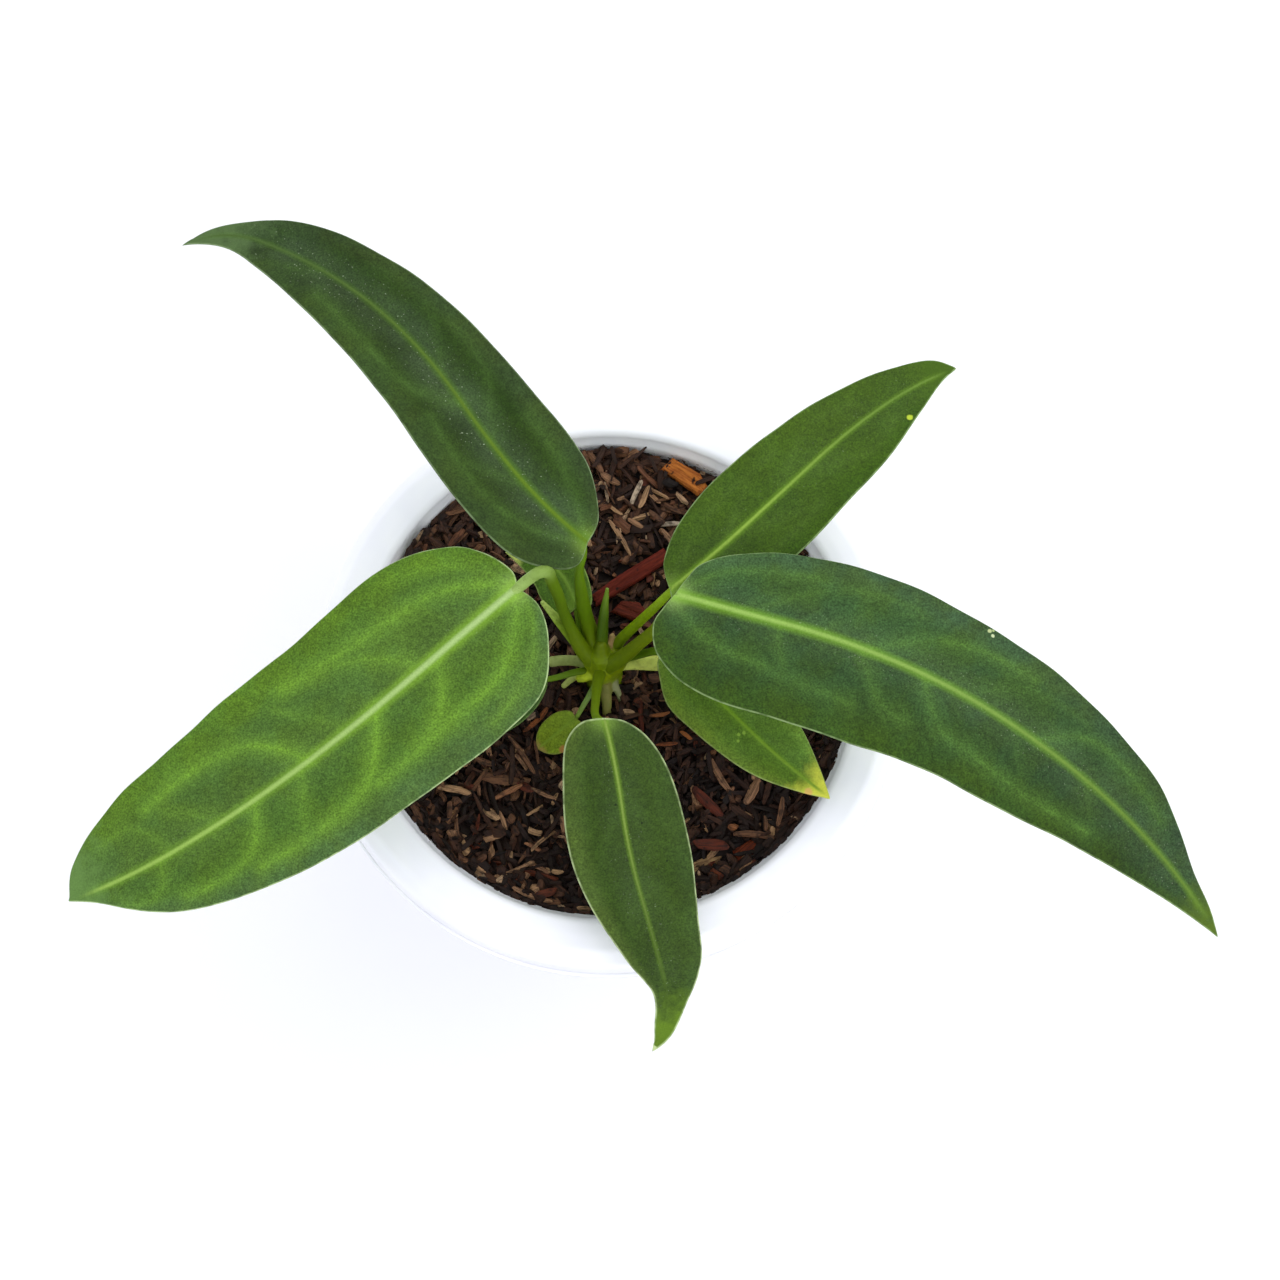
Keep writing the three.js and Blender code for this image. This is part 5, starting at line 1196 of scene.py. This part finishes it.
def blade_skin(name, leaf):
    """The leathery blade. Each half has its own green near the rib and towards the edge, mottled
    in patches 8 mm across, dimmer far out if the leaf says so, warmer and cooler in patches of
    9 mm, darkened and lightened by painted wrinkle shade along the side veins (colour only, no
    relief), and grained by velvet cells 0.42 mm across. Beside the rib a painted sheen may be laid
    on, and on leaf_left the darker green towards the left edge is painted shade. The side veins
    and their halos are paler, the rib is pale with a yellow-green fringe, the margin is a thin
    broken pale line, and the back is a plain paler green with a pale keel."""
    material, tree, shader, place = new_material(name + "_velvety_blade")
    length, painted_sheen = leaf["length"], leaf["painted_sheen"]
    flat, edge, veins = (add_node(tree, "Attribute", attribute_name=label).outputs["Vector"]
                         for label in ("flat", "edge", "veins"))
    (along, aside, under), (margin, out, rib), (vein, halo, glow) = (
        add_node(tree, "SeparateXYZ", {"Vector": vector}).outputs for vector in (flat, edge, veins))
    broad, ragged, puffs, fine, cells, uneven = (
        add_node(tree, "TexNoise", {"Vector": place, "Scale": 1 / (size * MM), "Detail": detail,
                 "Roughness": roughness}).outputs[0]
        for size, detail, roughness in ((8, 3, 0.5), (3, 3, 0.5), (2.6, 2, 0.4), (1.3, 2, 0.6),
                                        (VELVET_CELL, 2, 0.6), (0.8, 2, 0.5)))
    left = (aside, -0.5, 0.5)
    inner, outer = (laid(tree, leaf[key][1], leaf[key][0], left) for key in ("panel", "outer"))
    base = laid(tree, inner, outer, (out, 0.5, 0.9))
    base = toned(tree, base, broad, 0.86, 1.12)
    dimming = share_of(tree, [(along, 0.35 * length, 0.8 * length, 1, leaf["far"])])
    base = add_node(tree, "VectorMath", {0: base, "Scale": dimming}, operation="SCALE").outputs[0]
    hue = laid(tree, COOLER, WARMER, patchy(tree, place, 9, 0.38, 0.62, detail=3))
    base = laid(tree, base, hue, leaf["mottle"], blend="MULTIPLY")
    base = toned(tree, base, fine, 0.84, 1.16)
    # Painted wrinkle shade: the colour is darkened and lightened along a stretched noise that follows
    # the side veins. This is the shade and light of creases, drawn in colour only.
    folded = add_node(tree, "VectorMath", {0: flat}, operation="ABSOLUTE").outputs[0]
    fold_place = add_node(tree, "Mapping", {"Vector": folded, "Scale": WRINKLE,
                          "Rotation": (0, 0, WRINKLE_TURN)}, vector_type="TEXTURE").outputs[0]
    wrinkle_shade_noise = add_node(tree, "TexNoise", {"Vector": fold_place, "Scale": 1.0}).outputs[0]
    base = toned(tree, base, wrinkle_shade_noise, 1 - 0.14 * leaf["wrinkle_shading"], 1 + 0.12 * leaf["wrinkle_shading"])
    # Painted sheen: a grey-green veil in patches, and pale specks, 1 to 9 mm from the rib. They stand
    # in for the light the velvet face gives back there.
    if painted_sheen:
        side = add_node(tree, "Math", {0: aside}, operation="ABSOLUTE").outputs[0]
        near = (side, 1, 9, 1, 0)
        base = laid(tree, base, "#6c8462", near,
                    patchy(tree, place, 12, 0.25, 0.75, 0.3 * painted_sheen, painted_sheen, 3))
        base = laid(tree, base, "#a4b292", near,
                    patchy(tree, place, 0.5, 0.7, 0.76, 0, 3 * painted_sheen, 1))
    base = laid(tree, base, leaf["vein"], halo, 0.34)
    base = laid(tree, base, leaf["vein"], vein, patchy(tree, place, 5, 0.3, 0.7, 0.06, 0.45))
    base = toned(tree, base, cells, 1 - leaf["grain"], 1 + leaf["grain"])
    reach = add_node(tree, "Math", {0: ragged, 1: 0.16 * length, 2: along}, operation="MULTIPLY_ADD")
    base = laid(tree, base, leaf["tip"], (reach.outputs[0], (leaf["tip_from"] + 0.01) * length,
                                          (leaf["tip_from"] + 0.15) * length))
    base = laid(tree, base, leaf["glow"], glow, 0.55)
    rib_colour = laid(tree, *leaf["rib"], (along, 0, 0.85 * length))
    until = leaf["rib_until"] * length
    lasting = (along, until, until + 0.08 * length, 1, 0)
    base = laid(tree, base, leaf["fringe"], (rib, 0.8, 3.6, 0.52, 0), lasting,
                (along, 0, 0.8 * length, 1, 0.45))
    base = laid(tree, base, rib_colour, (rib, 0.15, 1.4, 0.95, 0), lasting)
    base = toned(tree, base, cells, 0.9, 1.1)
    base = laid(tree, base, leaf["margin"], (margin, 0.1, leaf["margin_mm"], 1, 0),
                patchy(tree, place, 2.5, 0.35, 0.6, 0.3, 0.82))
    for a, b, radius, colour in leaf["marks"]:
        off = add_node(tree, "VectorMath", {0: flat, 1: (a, b, 0)}, operation="DISTANCE")
        off = add_node(tree, "Math", {0: uneven, 1: 0.7 * radius, 2: off.outputs["Value"]},
                       operation="MULTIPLY_ADD")
        base = laid(tree, base, colour, (off.outputs[0], radius, 1.5 * radius, 0.9, 0))
    back = laid(tree, "#6f8f4c", "#a5bd74", (rib, 0.6, 1.6, 1, 0))
    finished(tree, shader, laid(tree, base, back, under), 0.55, 0.1,
             [(cells, 0.5, 0.06), (puffs, 0.6, PUFF_DEPTH)])
    return material


for name, own in LEAVES.items():
    leaf = {**USUAL_LEAF, **own}
    blade_part, fields = blade(leaf)
    stalk_part = stalk(leaf)
    blade_corners, stalk_corners = len(blade_part[0]), len(stalk_part[0])
    piece = add_piece(name + "_grown", *joined([blade_part, stalk_part]))
    for label, values in fields.items():
        paint(piece, label, np.concatenate([values, np.zeros((stalk_corners, 3))]))
    paint(piece, "along", np.concatenate([np.zeros(blade_corners), fraction_along(stalk_part)]))
    put(piece, blade_skin(name, leaf), leaf["slot"], name)
    piece.data.materials.append(living_skin(name + "_stalk", *leaf["stalk_colours"]))
    first = np.zeros(len(piece.data.polygons), np.int32)
    piece.data.polygons.foreach_get("loop_start", first)
    corner = np.zeros(len(piece.data.loops), np.int32)
    piece.data.loops.foreach_get("vertex_index", corner)
    on_stalk = (corner[first] >= blade_corners).astype(np.int32)
    piece.data.polygons.foreach_set("material_index", on_stalk)

# The newest leaf, still rolled into a spike, and the pale sheath leaf that once wrapped it.
# Both are thin soft tissue, grown from the crown; the roll shows its overlapping edge as a seam.
ROLL_ROWS = 40
ROLL_RING = 20


def seamed(turn):
    """Section of a rolled leaf: it widens with the turn by a tenth, then steps back at the seam."""
    return 0.94 + 0.1 * turn / (2 * math.pi)


for name, route, radii, colours, slot in (
        ("new_leaf_rolled", [(-1.4, 3, 2), (-1.2, 7, 9), (-0.6, 11, 16), (0.2, 14.6, 22.4)],
         [1.6, 1.5, 1.15, 0.4], ("#425e08", "#6a8a24"), "stem"),
        ("sheath_leaf", [(-4, 3, -2), (-8.2, 6.2, 2.4), (-11.8, 9.6, 11), (-15.4, 12.2, 19)],
         [0.8, 0.9, 1.2, 0.55], ("#8fae2e", "#b4cc66"), "sheath")):
    roll = rod(route, radii, ROLL_ROWS, ROLL_RING, seamed)
    piece = add_piece(name + "_grown", *joined([roll]))
    paint(piece, "along", fraction_along(roll))
    put(piece, living_skin(name + "_skin", *colours), slot, name)
